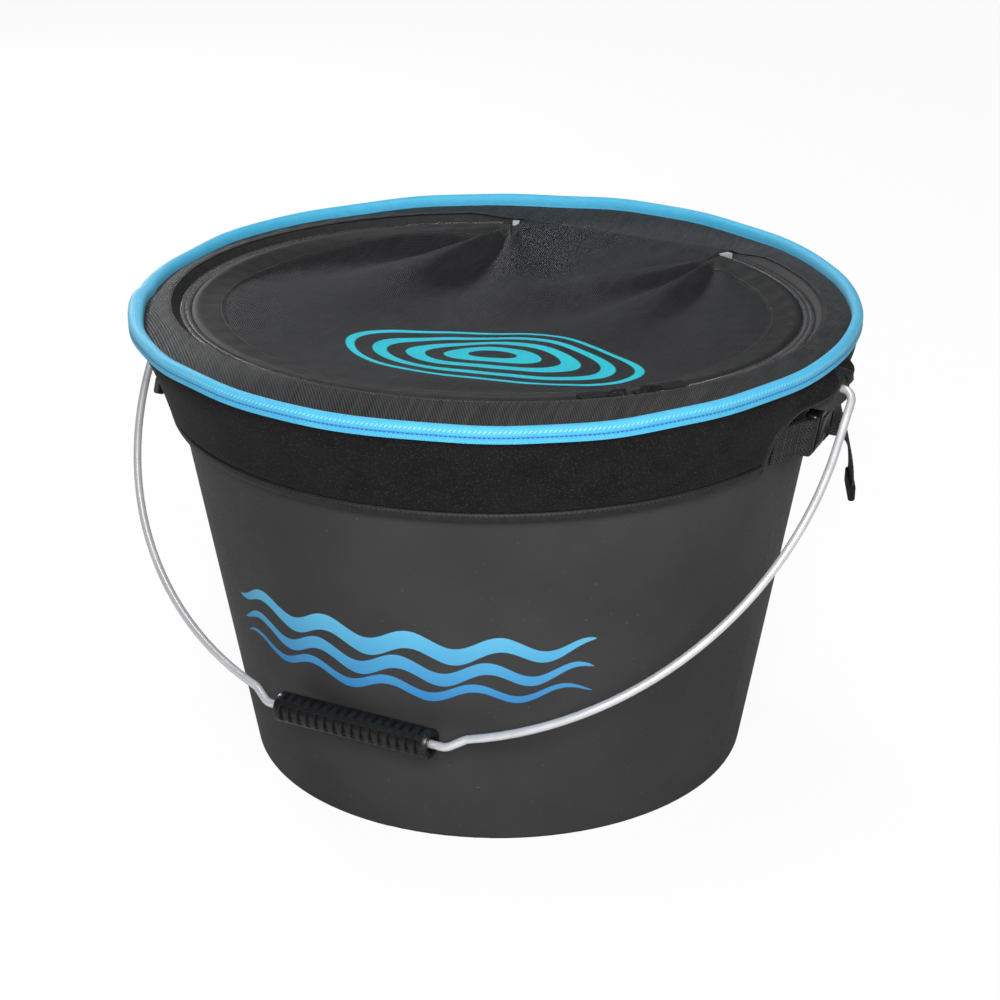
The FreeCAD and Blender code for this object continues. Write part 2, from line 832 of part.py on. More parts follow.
def buckle_clip():
    """Male half: a webbing bar at the back and a pronged tongue that slides into the socket."""
    bar_low = clip_end - buckle_bar
    slot_low = bar_low - buckle_slot
    solid = buckle_block(clip_start, clip_end)
    solid = solid.cut(bar_cuts(bar_low, clip_end, slot_low, bar_low, clip_end + overrun))
    back = buckle_back_gap + socket_wall + fit
    front = buckle_front - socket_wall - fit
    half = tongue_half_height - fit
    prong = half / 2
    tip = socket_back - tongue_length
    tongue = block((back, tip, -half), (front, clip_start + buckle_corner_radius, half))
    gap = block((back - overrun, tip - overrun, -prong), (front + overrun, clip_start - fit, prong))
    return on_wall(merge([solid, tongue.cut(gap)]))


def tail_section(place, along, twist, thickness):
    """A rectangle of webbing square to its path, turned about the path by a twist."""
    flat = ACROSS - along * ACROSS.dot(along)
    flat.normalize()
    flat = FreeCAD.Rotation(along, twist).multVec(flat)
    width = along.cross(flat)
    across = width * half_strap
    through = flat * (thickness / 2)
    outer = place + through
    inner = place - through
    corners = [outer + across, outer - across, inner - across, inner + across]
    return Part.makePolygon(corners + corners[:1])


def strap_tail(tail_reach, tail_out, tail_drop, tail_twists):
    """Fold round the clip's bar and the free end that hangs from it to a stitched fold."""
    bar_low = clip_end - buckle_bar
    start = Vector(bar_front + fit + strap_thickness / 2, bar_low, 0)
    places = []
    for reach, out, drop in zip(tail_reach_shares, tail_out_shares, tail_drop_shares):
        places.append(start + Vector(tail_out * out, tail_reach * reach, -tail_drop * drop))
    sections = []
    for i, place in enumerate(places):
        along = places[min(i + 1, len(places) - 1)] - places[max(i - 1, 0)]
        sections.append(tail_section(place, along.normalize(), tail_twists[i], strap_thickness))
    strip = Part.makeLoft(sections, True, True)
    along = (places[-1] - places[-2]).normalize()
    ends = [places[-1] - along * tail_end_length / 2, places[-1] + along * tail_end_length / 2]
    sections = [tail_section(p, along, tail_twists[-1], tail_end_thickness) for p in ends]
    fold = Part.makeLoft(sections, True, True)
    return on_wall(merge([strap_loop(bar_low, clip_end), strip, fold]))


def build():
    """Every piece of the bucket, by name."""
    nodes = {"bucket_shell": bucket_shell(), "bail_wire": bail_wire(), "grip": grip()}
    nodes["ring_panel"] = ring_panel()
    nodes["rim_binding"] = rim_binding()
    nodes["piping_core"] = piping_core()
    nodes["skirt"] = skirt()
    nodes["hem_band_front"], nodes["hem_band_back"] = hem_bands()
    nodes["lid_flap"] = lid_flap()
    nodes["zip_outer_tape"] = zip_band(row_far, row_far + outer_tape_width, tape_bottom, tape_top)
    nodes["zip_outer_teeth"] = zip_band(row_near, row_far, row_bottom, row_top)
    nodes["zip_inner_tape"] = zip_band(-row_far - inner_tape_width, -row_far, tape_bottom, tape_top)
    nodes["zip_inner_teeth"] = zip_band(-row_far, -row_near, row_bottom, row_top)
    for name, side in (("right", 1), ("left", -1)):
        nodes["zip_stop_" + name] = zip_stop(side)
        nodes["zip_slider_" + name] = on_zip(zip_slider(), side)
        nodes["zip_pull_" + name] = on_zip(zip_pull(side), side)
    makers = {
        "arch_binding": arch_binding,
        "anchor_strap": anchor_strap,
        "buckle_socket": buckle_socket,
        "rear_strap": rear_strap,
        "buckle_clip": buckle_clip,
    }
    for name, make in makers.items():
        shape = make()
        nodes[name + "_right"] = shape
        nodes[name + "_left"] = opposite(shape)
    tail = strap_tail(right_tail_reach, right_tail_out, right_tail_drop, right_tail_twists)
    nodes["strap_tail_right"] = tail
    tail = strap_tail(left_tail_reach, left_tail_out, left_tail_drop, left_tail_twists)
    nodes["strap_tail_left"] = opposite(tail)
    return nodes


os.makedirs("parts", exist_ok=True)
for node, solid in build().items():
    solid.exportStep("parts/" + node + ".step")
    print(node, "solids", len(solid.Solids), "valid", solid.isValid(), "volume", round(solid.Volume, 1))
slider_end = QUARTER_TURN - zip_half_free - arc_degrees(slider_length / 2 + zip_stop_gap)
print("bail axis height", round(bail_z, 3), "rest angle", round(math.degrees(bail_rest), 3))
print("grip seat y, z", round(seat_y, 3), round(grip_z, 3))
print("lid tilt", lid_tilt, "about height", round(tape_top, 3))
print("lid fold before the tilt y, z", round(hinge_y, 3), round(panel_top, 3))
print("slider angles", round(slider_azimuth(1), 3), round(slider_azimuth(-1), 3))
print("slider end angle", round(slider_end, 3))
print("pull axis height", round(plate_top + pull_pin_height, 3), "offset", pull_pin_offset)
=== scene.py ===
import math

import bpy
from mathutils import Matrix, Vector, noise


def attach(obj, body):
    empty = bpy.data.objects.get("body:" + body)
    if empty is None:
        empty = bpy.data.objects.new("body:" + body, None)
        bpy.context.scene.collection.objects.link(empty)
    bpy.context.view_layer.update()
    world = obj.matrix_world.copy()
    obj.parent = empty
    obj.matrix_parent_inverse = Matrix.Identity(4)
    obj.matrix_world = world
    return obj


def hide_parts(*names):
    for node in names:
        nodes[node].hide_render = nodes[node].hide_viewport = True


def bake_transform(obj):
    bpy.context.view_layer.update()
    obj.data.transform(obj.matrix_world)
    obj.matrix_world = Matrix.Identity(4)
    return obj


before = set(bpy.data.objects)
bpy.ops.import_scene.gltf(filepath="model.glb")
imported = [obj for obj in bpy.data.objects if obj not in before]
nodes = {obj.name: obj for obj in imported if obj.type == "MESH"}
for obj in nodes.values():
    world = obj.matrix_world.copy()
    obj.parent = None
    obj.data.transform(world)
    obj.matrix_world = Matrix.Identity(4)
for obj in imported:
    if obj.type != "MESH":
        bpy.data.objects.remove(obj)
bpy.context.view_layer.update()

# A bait bucket: moulded bucket, wire bail with a ribbed grip, and a sewn cover with a zipped lid.
# Sizes below are in millimetres in the CAD frame; meshes are made in metres.
MM = 0.001

# Sizes repeated from the part
TILT = math.radians(2.25)
ZIP_LEVEL = 258.2
ZIP_START = math.radians(115)
ZIP_END = math.radians(425)
FOLD_Y = 165.2
FOLD_HALF = math.radians(22.6)
LID_EDGE = 163.8
RING_EDGE = 179.0
WALL_LEAN = math.atan2(43, 252)
WALL_RADIUS = 178.36
STRAP_STANDOFF = 4.0
STRAP_LEVEL = 217.0
STRAP_TURN = math.radians(4)
HALF_STRAP = 10.8
ARCH_FRONT = (
    (205.0, 40.0), (214.0, 40.0), (222.0, 39.0), (227.5, 36.0), (231.5, 30.0), (235.5, 23.5), (239.5, 16.5),
    (243.0, 10.5), (246.5, 6.8), (249.5, 4.6), (252.0, 0.0),
)
ARCH_REAR = (
    (205.0, 47.0), (214.0, 47.0), (222.0, 45.5), (227.5, 42.0), (231.5, 34.5), (235.5, 26.0), (239.5, 17.0),
    (243.0, 10.5), (246.5, 6.8), (249.5, 4.6), (252.0, 0.0),
)
GRIP_CENTRE = (0.0, -162.426, 72.101)


# Ways of working
def deselect():
    bpy.ops.object.select_all(action="DESELECT")


def pick(piece):
    """Make one piece the only one that the operators act on."""
    deselect()
    piece.select_set(True)
    bpy.context.view_layer.objects.active = piece


def named(name):
    """Name the piece that was just added, and put its place into its mesh."""
    piece = bpy.context.active_object
    piece.name = name
    piece.data.name = name
    bpy.ops.object.transform_apply(location=True, rotation=True, scale=True)
    return piece


def work(piece, kind, **settings):
    """Add a modifier to a piece and apply it."""
    pick(piece)
    modifier = piece.modifiers.new(kind.lower(), kind)
    for key, value in settings.items():
        setattr(modifier, key, value)
    bpy.ops.object.modifier_apply(modifier=modifier.name)


def smooth(piece, degrees=40):
    pick(piece)
    bpy.ops.object.shade_smooth_by_angle(angle=math.radians(degrees))


def tidy_mesh(piece, turn_out=True):
    """Merge doubled points, and turn the faces outwards."""
    pick(piece)
    bpy.ops.object.mode_set(mode="EDIT")
    bpy.ops.mesh.select_all(action="SELECT")
    bpy.ops.mesh.remove_doubles(threshold=0.000002)
    if turn_out:
        bpy.ops.mesh.normals_make_consistent(inside=False)
    bpy.ops.object.mode_set(mode="OBJECT")


def cloth(name, columns, rows, place):
    """A grid whose points are laid by place(u, v), which gives a point and its spot on the flat cloth."""
    deselect()
    middle = (0.5, 0.5, 0)
    bpy.ops.mesh.primitive_grid_add(x_subdivisions=columns, y_subdivisions=rows, size=1, location=middle)
    piece = named(name)
    spots = []
    for vertex in piece.data.vertices:
        point, spot = place(round(vertex.co.x, 6), round(vertex.co.y, 6))
        vertex.co = Vector(point) * MM
        spots.append(spot)
    chart = piece.data.uv_layers.active.data
    for loop in piece.data.loops:
        a, b = spots[loop.vertex_index]
        chart[loop.index].uv = (a * MM, b * MM)
    tidy_mesh(piece, turn_out=False)
    return piece


def thicken(piece, thickness, levels=1, offset=-1.0):
    """Give cloth its thickness and soften it."""
    work(piece, "SOLIDIFY", thickness=thickness * MM, offset=offset, use_even_offset=False)
    if levels:
        work(piece, "SUBSURF", levels=levels, render_levels=levels)
    smooth(piece, 60)


def block(name, low, high, radius, segments=3):
    """A block with rounded edges between two corners."""
    deselect()
    low, high = Vector(low), Vector(high)
    bpy.ops.mesh.primitive_cube_add(size=1, location=(low + high) / 2 * MM, scale=(high - low) * MM)
    piece = named(name)
    pick(piece)
    bpy.ops.object.mode_set(mode="EDIT")
    bpy.ops.mesh.select_all(action="SELECT")
    bpy.ops.mesh.bevel(offset=radius * MM, segments=segments, affect="EDGES")
    bpy.ops.object.mode_set(mode="OBJECT")
    return piece


def cut(piece, *cutters):
    """Cut shapes out of a piece."""
    for cutter in cutters:
        work(piece, "BOOLEAN", operation="DIFFERENCE", object=cutter, solver="EXACT")
        bpy.data.objects.remove(cutter)


def joined(name, *pieces):
    """Join pieces into the first one."""
    deselect()
    for piece in pieces:
        piece.select_set(True)
    bpy.context.view_layer.objects.active = pieces[0]
    if len(pieces) > 1:
        bpy.ops.object.join()
    pieces[0].name = name
    pieces[0].data.name = name
    return pieces[0]


def turned(name, profile, steps):
    """Turn a profile of (distance along X, radius) points about the X axis."""
    deselect()
    bpy.ops.mesh.primitive_plane_add(size=0.01)
    piece = named(name)
    bpy.ops.object.mode_set(mode="EDIT")
    bpy.ops.mesh.select_all(action="SELECT")
    bpy.ops.mesh.merge(type="CENTER")
    first = profile[0]
    bpy.ops.transform.translate(value=(first[0] * MM, 0, first[1] * MM))
    for before, after in zip(profile, profile[1:]):
        step = ((after[0] - before[0]) * MM, 0, (after[1] - before[1]) * MM)
        bpy.ops.mesh.extrude_region_move(TRANSFORM_OT_translate={"value": step})
    bpy.ops.mesh.select_all(action="SELECT")
    bpy.ops.mesh.spin(steps=steps, angle=math.tau, center=(0, 0, 0), axis=(1, 0, 0))
    bpy.ops.object.mode_set(mode="OBJECT")
    tidy_mesh(piece)
    return piece


def bead(length, width, height):
    """The points and faces of one small lens that lies along X, for a stitch or a zip tooth."""
    deselect()
    bpy.ops.mesh.primitive_uv_sphere_add(segments=6, ring_count=4, radius=0.5, rotation=(0, math.pi / 2, 0))
    piece = named("bead")
    points = [Vector((v.co.x * length, v.co.y * width, v.co.z * height)) for v in piece.data.vertices]
    faces = [tuple(face.vertices) for face in piece.data.polygons]
    bpy.data.objects.remove(piece)
    return points, faces


def strew(name, shape, places):
    """Copies of one small shape at (point, direction, up) places, as one piece."""
    points, faces = [], []
    for spot, along, up in places:
        along = Vector(along).normalized()
        side = Vector(up).cross(along).normalized()
        turn = Matrix((along, side, along.cross(side))).transposed()
        start = len(points)
        points.extend((Vector(spot) + turn @ p) * MM for p in shape[0])
        faces.extend(tuple(start + i for i in face) for face in shape[1])
    mesh = bpy.data.meshes.new(name)
    mesh.from_pydata(points, [], faces)
    piece = bpy.data.objects.new(name, mesh)
    bpy.context.scene.collection.objects.link(piece)
    smooth(piece, 180)
    return piece


def dress(piece, body, finish, slot, *stands_for):
    """Give a piece its finish and its body, and hide the nodes that it stands for; the slot argument is not
    used.
    """
    piece.data.materials.clear()
    piece.data.materials.append(finish)
    if body:
        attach(piece, body)
    if stands_for:
        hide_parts(*stands_for)
    return piece


def between(value, points):
    """A value on straight lines between (position, value) points."""
    if value <= points[0][0]:
        return points[0][1]
    for (x0, y0), (x1, y1) in zip(points, points[1:]):
        if value <= x1:
            return y0 + (y1 - y0) * (value - x0) / (x1 - x0)
    return points[-1][1]


def along_curve(values, t):
    """A smooth curve through evenly spaced values, at t from 0 to 1."""
    spans = len(values) - 1
    i = min(int(t * spans), spans - 1)
    f = t * spans - i
    a, b, c, d = values[max(i - 1, 0)], values[i], values[i + 1], values[min(i + 2, spans)]
    square = 2 * a - 5 * b + 4 * c - d
    cube = 3 * b - a - 3 * c + d
    return 0.5 * (2 * b + (c - a) * f + square * f * f + cube * f ** 3)


def ease(value, low, high):
    """0 below low, 1 above high, smooth between."""
    t = min(max((value - low) / (high - low), 0.0), 1.0)
    return t * t * (3 - 2 * t)


def hump(value, centre, width):
    return math.exp(-(((value - centre) / width) ** 2))


def degrees_round(theta):
    """An angle in degrees from -180 to 180."""
    return (math.degrees(theta) + 180) % 360 - 180


def ripple(x, y, scale, seed=0.0):
    """Slow unevenness from -1 to 1."""
    return noise.noise(Vector((x / scale, y / scale, seed)))


def lean(x, y, h):
    """A point at height h over the tilted zip level."""
    c, s = math.cos(TILT), math.sin(TILT)
    return (x, y * c + h * s, ZIP_LEVEL - y * s + h * c)


# Finishes
class Finish:
    """A material and short ways to add its nodes."""

    def __init__(self, name, colour, rough, metal=0.0, sheen=0.0, specular=0.5):
        self.material = bpy.data.materials.new(name)
        self.material.use_nodes = True
        self.tree = self.material.node_tree
        self.shader = self.tree.nodes["Principled BSDF"]
        self.shader.inputs["Base Color"].default_value = (*colour, 1)
        self.shader.inputs["Roughness"].default_value = rough
        self.shader.inputs["Metallic"].default_value = metal
        self.shader.inputs["Sheen Weight"].default_value = sheen
        self.shader.inputs["Sheen Roughness"].default_value = 0.45
        self.shader.inputs["Specular IOR Level"].default_value = specular

    def add(self, kind, values=(), out=0, **settings):
        node = self.tree.nodes.new(kind)
        for key, value in settings.items():
            setattr(node, key, value)
        for key, value in dict(values).items():
            if isinstance(value, bpy.types.NodeSocket):
                self.tree.links.new(value, node.inputs[key])
            else:
                node.inputs[key].default_value = value
        return node.outputs[out]

    def place(self):
        return self.add("ShaderNodeTexCoord", out="Object")

    def chart(self):
        return self.add("ShaderNodeUVMap", uv_map="UVMap")

    def split(self, vector):
        node = self.tree.nodes.new("ShaderNodeSeparateXYZ")
        self.tree.links.new(vector, node.inputs[0])
        return node.outputs

    def sums(self, operation, a, b=0.0, c=0.0):
        return self.add("ShaderNodeMath", {0: a, 1: b, 2: c}, operation=operation)

    def wave(self, value, pitch, phase=0.0):
        """A sine of the given pitch in millimetres."""
        return self.sums("SINE", self.sums("MULTIPLY_ADD", value, math.tau / (pitch * MM), phase))

    def grain(self, vector, size, detail=2.0, roughness=0.5):
        """Noise whose lumps are about a size in millimetres."""
        values = {"Vector": vector, "Scale": 1 / (size * MM), "Detail": detail, "Roughness": roughness}
        return self.add("ShaderNodeTexNoise", values)

    def stretch(self, vector, scale):
        return self.add("ShaderNodeMapping", {"Vector": vector, "Scale": scale})

    def span(self, value, low, high, to_low, to_high):
        values = {"Value": value, "From Min": low, "From Max": high, "To Min": to_low, "To Max": to_high}
        return self.add("ShaderNodeMapRange", values)

    def blend(self, factor, a, b):
        values = {}
        for key, colour in ((6, a), (7, b)):
            values[key] = colour if isinstance(colour, bpy.types.NodeSocket) else (*colour, 1)
        return self.add("ShaderNodeMix", {0: factor, **values}, out=2, data_type="RGBA")

    def set(self, key, value):
        self.tree.links.new(value, self.shader.inputs[key])

    def bump(self, height, depth, strength=1.0):
        values = {"Height": height, "Distance": depth * MM, "Strength": strength}
        self.set("Normal", self.add("ShaderNodeBump", values))


def tint(colour, share):
    return tuple(c * share for c in colour)


# The printed waves: height, swing, stroke in metres and phase of each, and where they run
WAVES = ((0.1245, 0.0042, 0.0056, 0.0), (0.1095, 0.0042, 0.0044, 0.9), (0.0975, 0.0036, 0.003, 1.8))
WAVES_TURN = math.radians(83)
WAVES_RADIUS = 158
WAVES_HALF = 108
WAVES_PITCH = 47


def moulded_bucket():
    f = Finish("moulded bucket", (0.042, 0.042, 0.044), 0.48, specular=0.16)
    here = f.place()
    x, y, z = f.split(here)
    cloudy = f.grain(here, 60, 3)
    specks = f.grain(here, 1.6, 1)
    dust = f.span(specks, 0.76, 0.8, 0.0, 0.55)
    scuffs = f.grain(f.stretch(here, (260, 260, 1900)), 1000, 3)
    base = f.blend(f.span(cloudy, 0.3, 0.7, 0, 1), (0.043, 0.043, 0.0445), (0.057, 0.057, 0.058))
    base = f.blend(dust, base, (0.2, 0.2, 0.2))
    turned_by = f.sums("ADD", f.sums("ARCTAN2", y, x), WAVES_TURN)
    around = f.sums("MULTIPLY", turned_by, WAVES_RADIUS * MM)
    share = f.sums("POWER", f.sums("DIVIDE", around, WAVES_HALF * MM), 2)
    ends = f.sums("SQRT", f.sums("MAXIMUM", f.sums("SUBTRACT", 1, share), 0))
    printed = None
    for level, swing, stroke, phase in WAVES:
        crest = f.sums("MULTIPLY_ADD", f.wave(around, WAVES_PITCH, phase), swing, level)
        near = f.sums("ABSOLUTE", f.sums("SUBTRACT", z, crest))
        band = f.sums("SUBTRACT", f.sums("MULTIPLY", ends, stroke), near)
        band = f.span(band, 0.0, 0.00035, 0.0, 1.0)
        printed = band if printed is None else f.sums("MAXIMUM", printed, band)
    ink = f.blend(f.span(z, 0.09, 0.14, 0, 1), (0.045, 0.26, 0.62), (0.16, 0.62, 0.9))
    worn = f.span(f.grain(here, 2.2, 3), 0.2, 0.36, 0.8, 1.0)
    base = f.blend(f.sums("MULTIPLY", printed, worn), base, ink)
    f.set("Base Color", base)
    f.set("Roughness", f.span(scuffs, 0.3, 0.7, 0.4, 0.54))
    fine = f.grain(here, 0.9, 2)
    f.bump(f.sums("ADD", fine, f.sums("MULTIPLY", scuffs, 0.4)), 0.05, 0.5)
    return f.material


def galvanised_wire():
    f = Finish("galvanised wire", (0.92, 0.92, 0.95), 0.26, metal=0.5)
    here = f.place()
    spangle = f.grain(here, 14, 1)
    f.set("Base Color", f.blend(f.span(spangle, 0.35, 0.65, 0, 1), (0.88, 0.88, 0.92), (0.95, 0.95, 0.98)))
    f.set("Roughness", f.span(spangle, 0.3, 0.7, 0.26, 0.36))
    return f.material


def plain_plastic(name, colour, rough, grain, depth):
    f = Finish(name, colour, rough)
    here = f.place()
    fine = f.grain(here, grain, 3)
    patchy = f.span(f.grain(here, 9, 2), 0.35, 0.65, 0, 1)
    f.set("Base Color", f.blend(patchy, tint(colour, 0.85), tint(colour, 1.2)))
    f.set("Roughness", f.span(fine, 0.3, 0.7, rough - 0.06, rough + 0.08))
    f.bump(fine, depth, 0.6)
    return f.material


def ribbed_tape(name, light, dark, thread):
    """Folded tape with fine ribs, a row of pale slanting yarns and a stitched line near its lower edge."""
    f = Finish(name, light, 0.6, sheen=0.1)
    along, across, _ = f.split(f.chart())
    ribs = f.wave(f.sums("ADD", along, f.sums("MULTIPLY", across, 0.5)), 1.5)
    yarn = f.wave(across, 0.9, 0.6)
    uneven = f.grain(f.place(), 7, 2)
    shade = f.sums("MULTIPLY_ADD", ribs, 0.16, f.sums("MULTIPLY_ADD", yarn, 0.1, 0.62))
    shade = f.sums("ADD", shade, f.span(uneven, 0.3, 0.7, -0.14, 0.14))
    middle = f.span(f.sums("ABSOLUTE", f.sums("SUBTRACT", across, 0.0062)), 0.0009, 0.0003, 0.0, 1.0)
    slanting = f.wave(f.sums("SUBTRACT", along, across), 2.4)
    pale = f.sums("MULTIPLY", middle, f.span(slanting, 0.0, 0.8, 0.0, 0.55))
    colour = f.blend(pale, f.blend(shade, dark, light), (0.55, 0.86, 0.95))
    seam = f.span(f.sums("ABSOLUTE", f.sums("SUBTRACT", across, 0.0034)), 0.0007, 0.0002, 0.0, 1.0)
    dashes = f.span(f.wave(along, 2.3, 0.4), -0.6, 0.3, 0.35, 1.0)
    f.set("Base Color", f.blend(f.sums("MULTIPLY", seam, dashes), colour, thread))
    height = f.sums("ADD", f.sums("MULTIPLY", ribs, 0.5), f.sums("MULTIPLY", yarn, 0.3))
    f.bump(f.sums("SUBTRACT", height, f.sums("MULTIPLY", seam, 2.5)), 0.16, 0.8)
    return f.material


def woven(f, coarse, colour_low, colour_high, depth):
    """Twill lines on the flat cloth, with thick and thin yarns; the colour is darker in the weave's valleys,
    as painted shade.
    """
    a, b, _ = f.split(f.chart())
    uneven = f.grain(f.stretch(f.chart(), (1, 0.12, 1)), 2.4, 2)
    slant = f.wave(f.sums("ADD", a, b), coarse, 0.0)
    cross = f.wave(f.sums("SUBTRACT", a, b), coarse * 0.62, 0.7)
    weave = f.sums("MULTIPLY_ADD", cross, 0.45, slant)
    # Painted shade: the weave's valleys take the low colour and its ridges the high colour, with random
    # unevenness on top.
    shade = f.span(weave, -1.45, 1.45, 0.0, 1.0)
    shade = f.sums("ADD", f.sums("MULTIPLY", shade, 0.75), f.span(uneven, 0.3, 0.7, 0.0, 0.3))
    f.bump(weave, depth, 0.8)
    return f.blend(shade, colour_low, colour_high)


# Spacing of the twill lines
TWILL = 1.75


def panel_cloth():
    f = Finish("panel cloth", (0.03, 0.03, 0.032), 0.6, sheen=0.02, specular=0.22)
    # The low colour is the painted shade in the twill's valleys.
    f.set("Base Color", woven(f, TWILL, (0.002, 0.002, 0.0022), (0.085, 0.085, 0.087), 0.34))
    return f.material


# The printed rings: radius and half stroke of each, and their middle on the lid, in metres
RINGS = ((0.012, 0.0042), (0.0255, 0.0034), (0.0375, 0.0026), (0.0475, 0.0017))
RINGS_CENTRE = (0.03, -0.062)
RINGS_STRETCH = 1.75


def lid_cloth():
    f = Finish("lid cloth", (0.015, 0.015, 0.017), 0.55, specular=0.2)
    # The low colour is the painted shade in the twill's valleys.
    base = woven(f, TWILL, (0.002, 0.002, 0.0022), (0.044, 0.0425, 0.049), 0.34)
    a, b, _ = f.split(f.chart())
    across = f.sums("DIVIDE", f.sums("SUBTRACT", a, RINGS_CENTRE[0]), RINGS_STRETCH)
    deep = f.sums("SUBTRACT", b, RINGS_CENTRE[1])
    ring = f.sums("SQRT", f.sums("ADD", f.sums("POWER", across, 2), f.sums("POWER", deep, 2)))
    printed = None
    for radius, stroke in RINGS:
        near = f.sums("ABSOLUTE", f.sums("SUBTRACT", ring, radius))
        band = f.span(f.sums("SUBTRACT", stroke, near), 0.0, 0.0004, 0.0, 1.0)
        printed = band if printed is None else f.sums("MAXIMUM", printed, band)
    worn = f.span(f.grain(f.chart(), 1.6, 2), 0.25, 0.4, 0.75, 1.0)
    f.set("Base Color", f.blend(f.sums("MULTIPLY", printed, worn), base, (0.03, 0.82, 1.0)))
    return f.material


def neoprene():
    f = Finish("skirt neoprene", (0.008, 0.0075, 0.0085), 0.8, sheen=0.03, specular=0.22)
    here = f.place()
    knit = f.grain(here, 0.5, 1)
    lint = f.span(f.grain(here, 0.9, 2, 0.7), 0.56, 0.7, 0.0, 0.9)
    broad = f.grain(here, 14, 2)
    base = f.blend(f.span(broad, 0.3, 0.7, 0, 1), (0.0042, 0.004, 0.0045), (0.0085, 0.008, 0.009))
    f.set("Base Color", f.blend(lint, base, (0.042, 0.042, 0.044)))
    f.bump(knit, 0.12, 0.7)
    return f.material


def fine_tape(name, low, high, pitch, sheen=0.1, rough=0.6):
    """Smooth narrow tape with fine cross ribs."""
    f = Finish(name, high, rough, sheen=sheen)
    ribs = f.wave(f.split(f.chart())[0], pitch)
    uneven = f.grain(f.place(), 4, 3)
    shade = f.sums("MULTIPLY_ADD", ribs, 0.2, f.span(uneven, 0.3, 0.7, 0.2, 0.8))
    f.set("Base Color", f.blend(shade, low, high))
    f.bump(f.sums("ADD", ribs, f.sums("MULTIPLY", uneven, 0.8)), 0.06, 0.7)
    return f.material


def webbing():
    f = Finish("strap webbing", (0.012, 0.012, 0.013), 0.5, specular=0.3)
    along, across, _ = f.split(f.chart())
    zigzag = f.sums("PINGPONG", across, 0.0032)
    ribs = f.wave(f.sums("ADD", along, zigzag), 2.0)
    rows = f.wave(across, 1.6, 0.4)
    weave = f.sums("MULTIPLY_ADD", rows, 0.4, ribs)
    shade = f.span(weave, -1.3, 1.3, 0, 1)
    f.set("Base Color", f.blend(shade, (0.002, 0.002, 0.0022), (0.055, 0.055, 0.056)))
    f.bump(weave, 0.2, 0.8)
    return f.material


def bright_metal(name, colour, rough):
    f = Finish(name, colour, rough, metal=0.4)
    here = f.place()
    rub = f.grain(here, 0.8, 3)
    f.set("Roughness", f.span(rub, 0.3, 0.7, rough - 0.08, rough + 0.12))
    f.set("Base Color", f.blend(rub, tint(colour, 0.75), colour))
    f.bump(rub, 0.03, 0.4)
    return f.material


BUCKET = moulded_bucket()
WIRE = galvanised_wire()
GRIP = plain_plastic("grip plastic", (0.011, 0.011, 0.012), 0.3, 0.7, 0.05)
TAPE = ribbed_tape("blue ribbed tape", (0.1, 0.61, 0.87), (0.05, 0.43, 0.82), (0.015, 0.15, 0.66))
PANEL = panel_cloth()
LID = lid_cloth()
SKIRT = neoprene()
HEM = fine_tape("hem tape", (0.004, 0.004, 0.0045), (0.016, 0.016, 0.017), 1.3, 0.03)
FACING = fine_tape("zip facing", (0.003, 0.003, 0.003), (0.02, 0.02, 0.0205), 1.5, 0.0, 0.7)
COIL = plain_plastic("zip coil", (0.05, 0.05, 0.052), 0.24, 0.5, 0.02)
CRIMP = bright_metal("crimp metal", (0.86, 0.86, 0.86), 0.36)
ENAMEL = plain_plastic("black enamel", (0.014, 0.014, 0.015), 0.42, 0.6, 0.02)
WEBBING = webbing()
ACETAL = plain_plastic("buckle plastic", (0.01, 0.01, 0.011), 0.24, 0.8, 0.03)
BLACK_THREAD = plain_plastic("black thread", (0.05, 0.05, 0.052), 0.5, 0.4, 0.03)
PIPING = plain_plastic("piping cord", (0.3, 0.3, 0.3), 0.5, 0.6, 0.03)


def refinish(node, finish):
    """Give a CAD node that stays its finish."""
    nodes[node].data.materials.clear()
    nodes[node].data.materials.append(finish)


refinish("bucket_shell", BUCKET)
refinish("bail_wire", WIRE)
refinish("piping_core", PIPING)
for side in ("right", "left"):
    refinish("zip_stop_" + side, CRIMP)
    refinish("zip_slider_" + side, ENAMEL)
    refinish("zip_pull_" + side, ENAMEL)


# Grip with rounded ribs and four rails
def grip():
    half, core, crest = 47.0, 6.3, 8.2
    mouth, bore, depth, round_off = 5.2, 2.6, 7, 0.8
    ribs, rails_round = 17, 4
    profile = [(-half, mouth), (-half, crest - round_off), (-half + round_off, crest)]
    pitch = 2 * half / ribs
    for i in range(ribs):
        left = -half + i * pitch
        right = left + pitch
        if i:
            profile += [(left + 0.5, core), (left + 0.9, crest - 0.7), (left + 1.4, crest)]
        if i < ribs - 1:
            profile += [(right - 1.6, crest), (right - 1.1, crest - 0.7), (right - 0.7, core)]
    profile += [(half - round_off, crest), (half, crest - round_off), (half, mouth)]
    profile += [(half - depth, mouth), (half - depth, bore), (-half + depth, bore), (-half + depth, mouth)]
    profile.append((-half, mouth))
    tube = turned("grip_tube", profile, 72)
    rails = []
    for i in range(rails_round):
        rail = block("grip_rail", (-half + 1, -1.6, 4.0), (half - 1, 1.6, 8.15), 0.7)
        rail.data.transform(Matrix.Rotation(math.radians(45 + 90 * i), 4, "X"))
        rails.append(rail)
    piece = joined("grip_ribbed", tube, *rails)
    piece.data.transform(Matrix.Translation(Vector(GRIP_CENTRE) * MM))
    smooth(piece, 45)
    dress(piece, "grip", GRIP, "grip_plastic", "grip")


grip()


# Binding round the cover's edge
SWAY_OUT = ((0.3, 5, 0.7), (0.2, 11, 2.1), (0.15, 23, 0.4))
SWAY_UP = ((0.4, 4, 1.9), (0.35, 9, 0.2), (0.2, 19, 1.1))


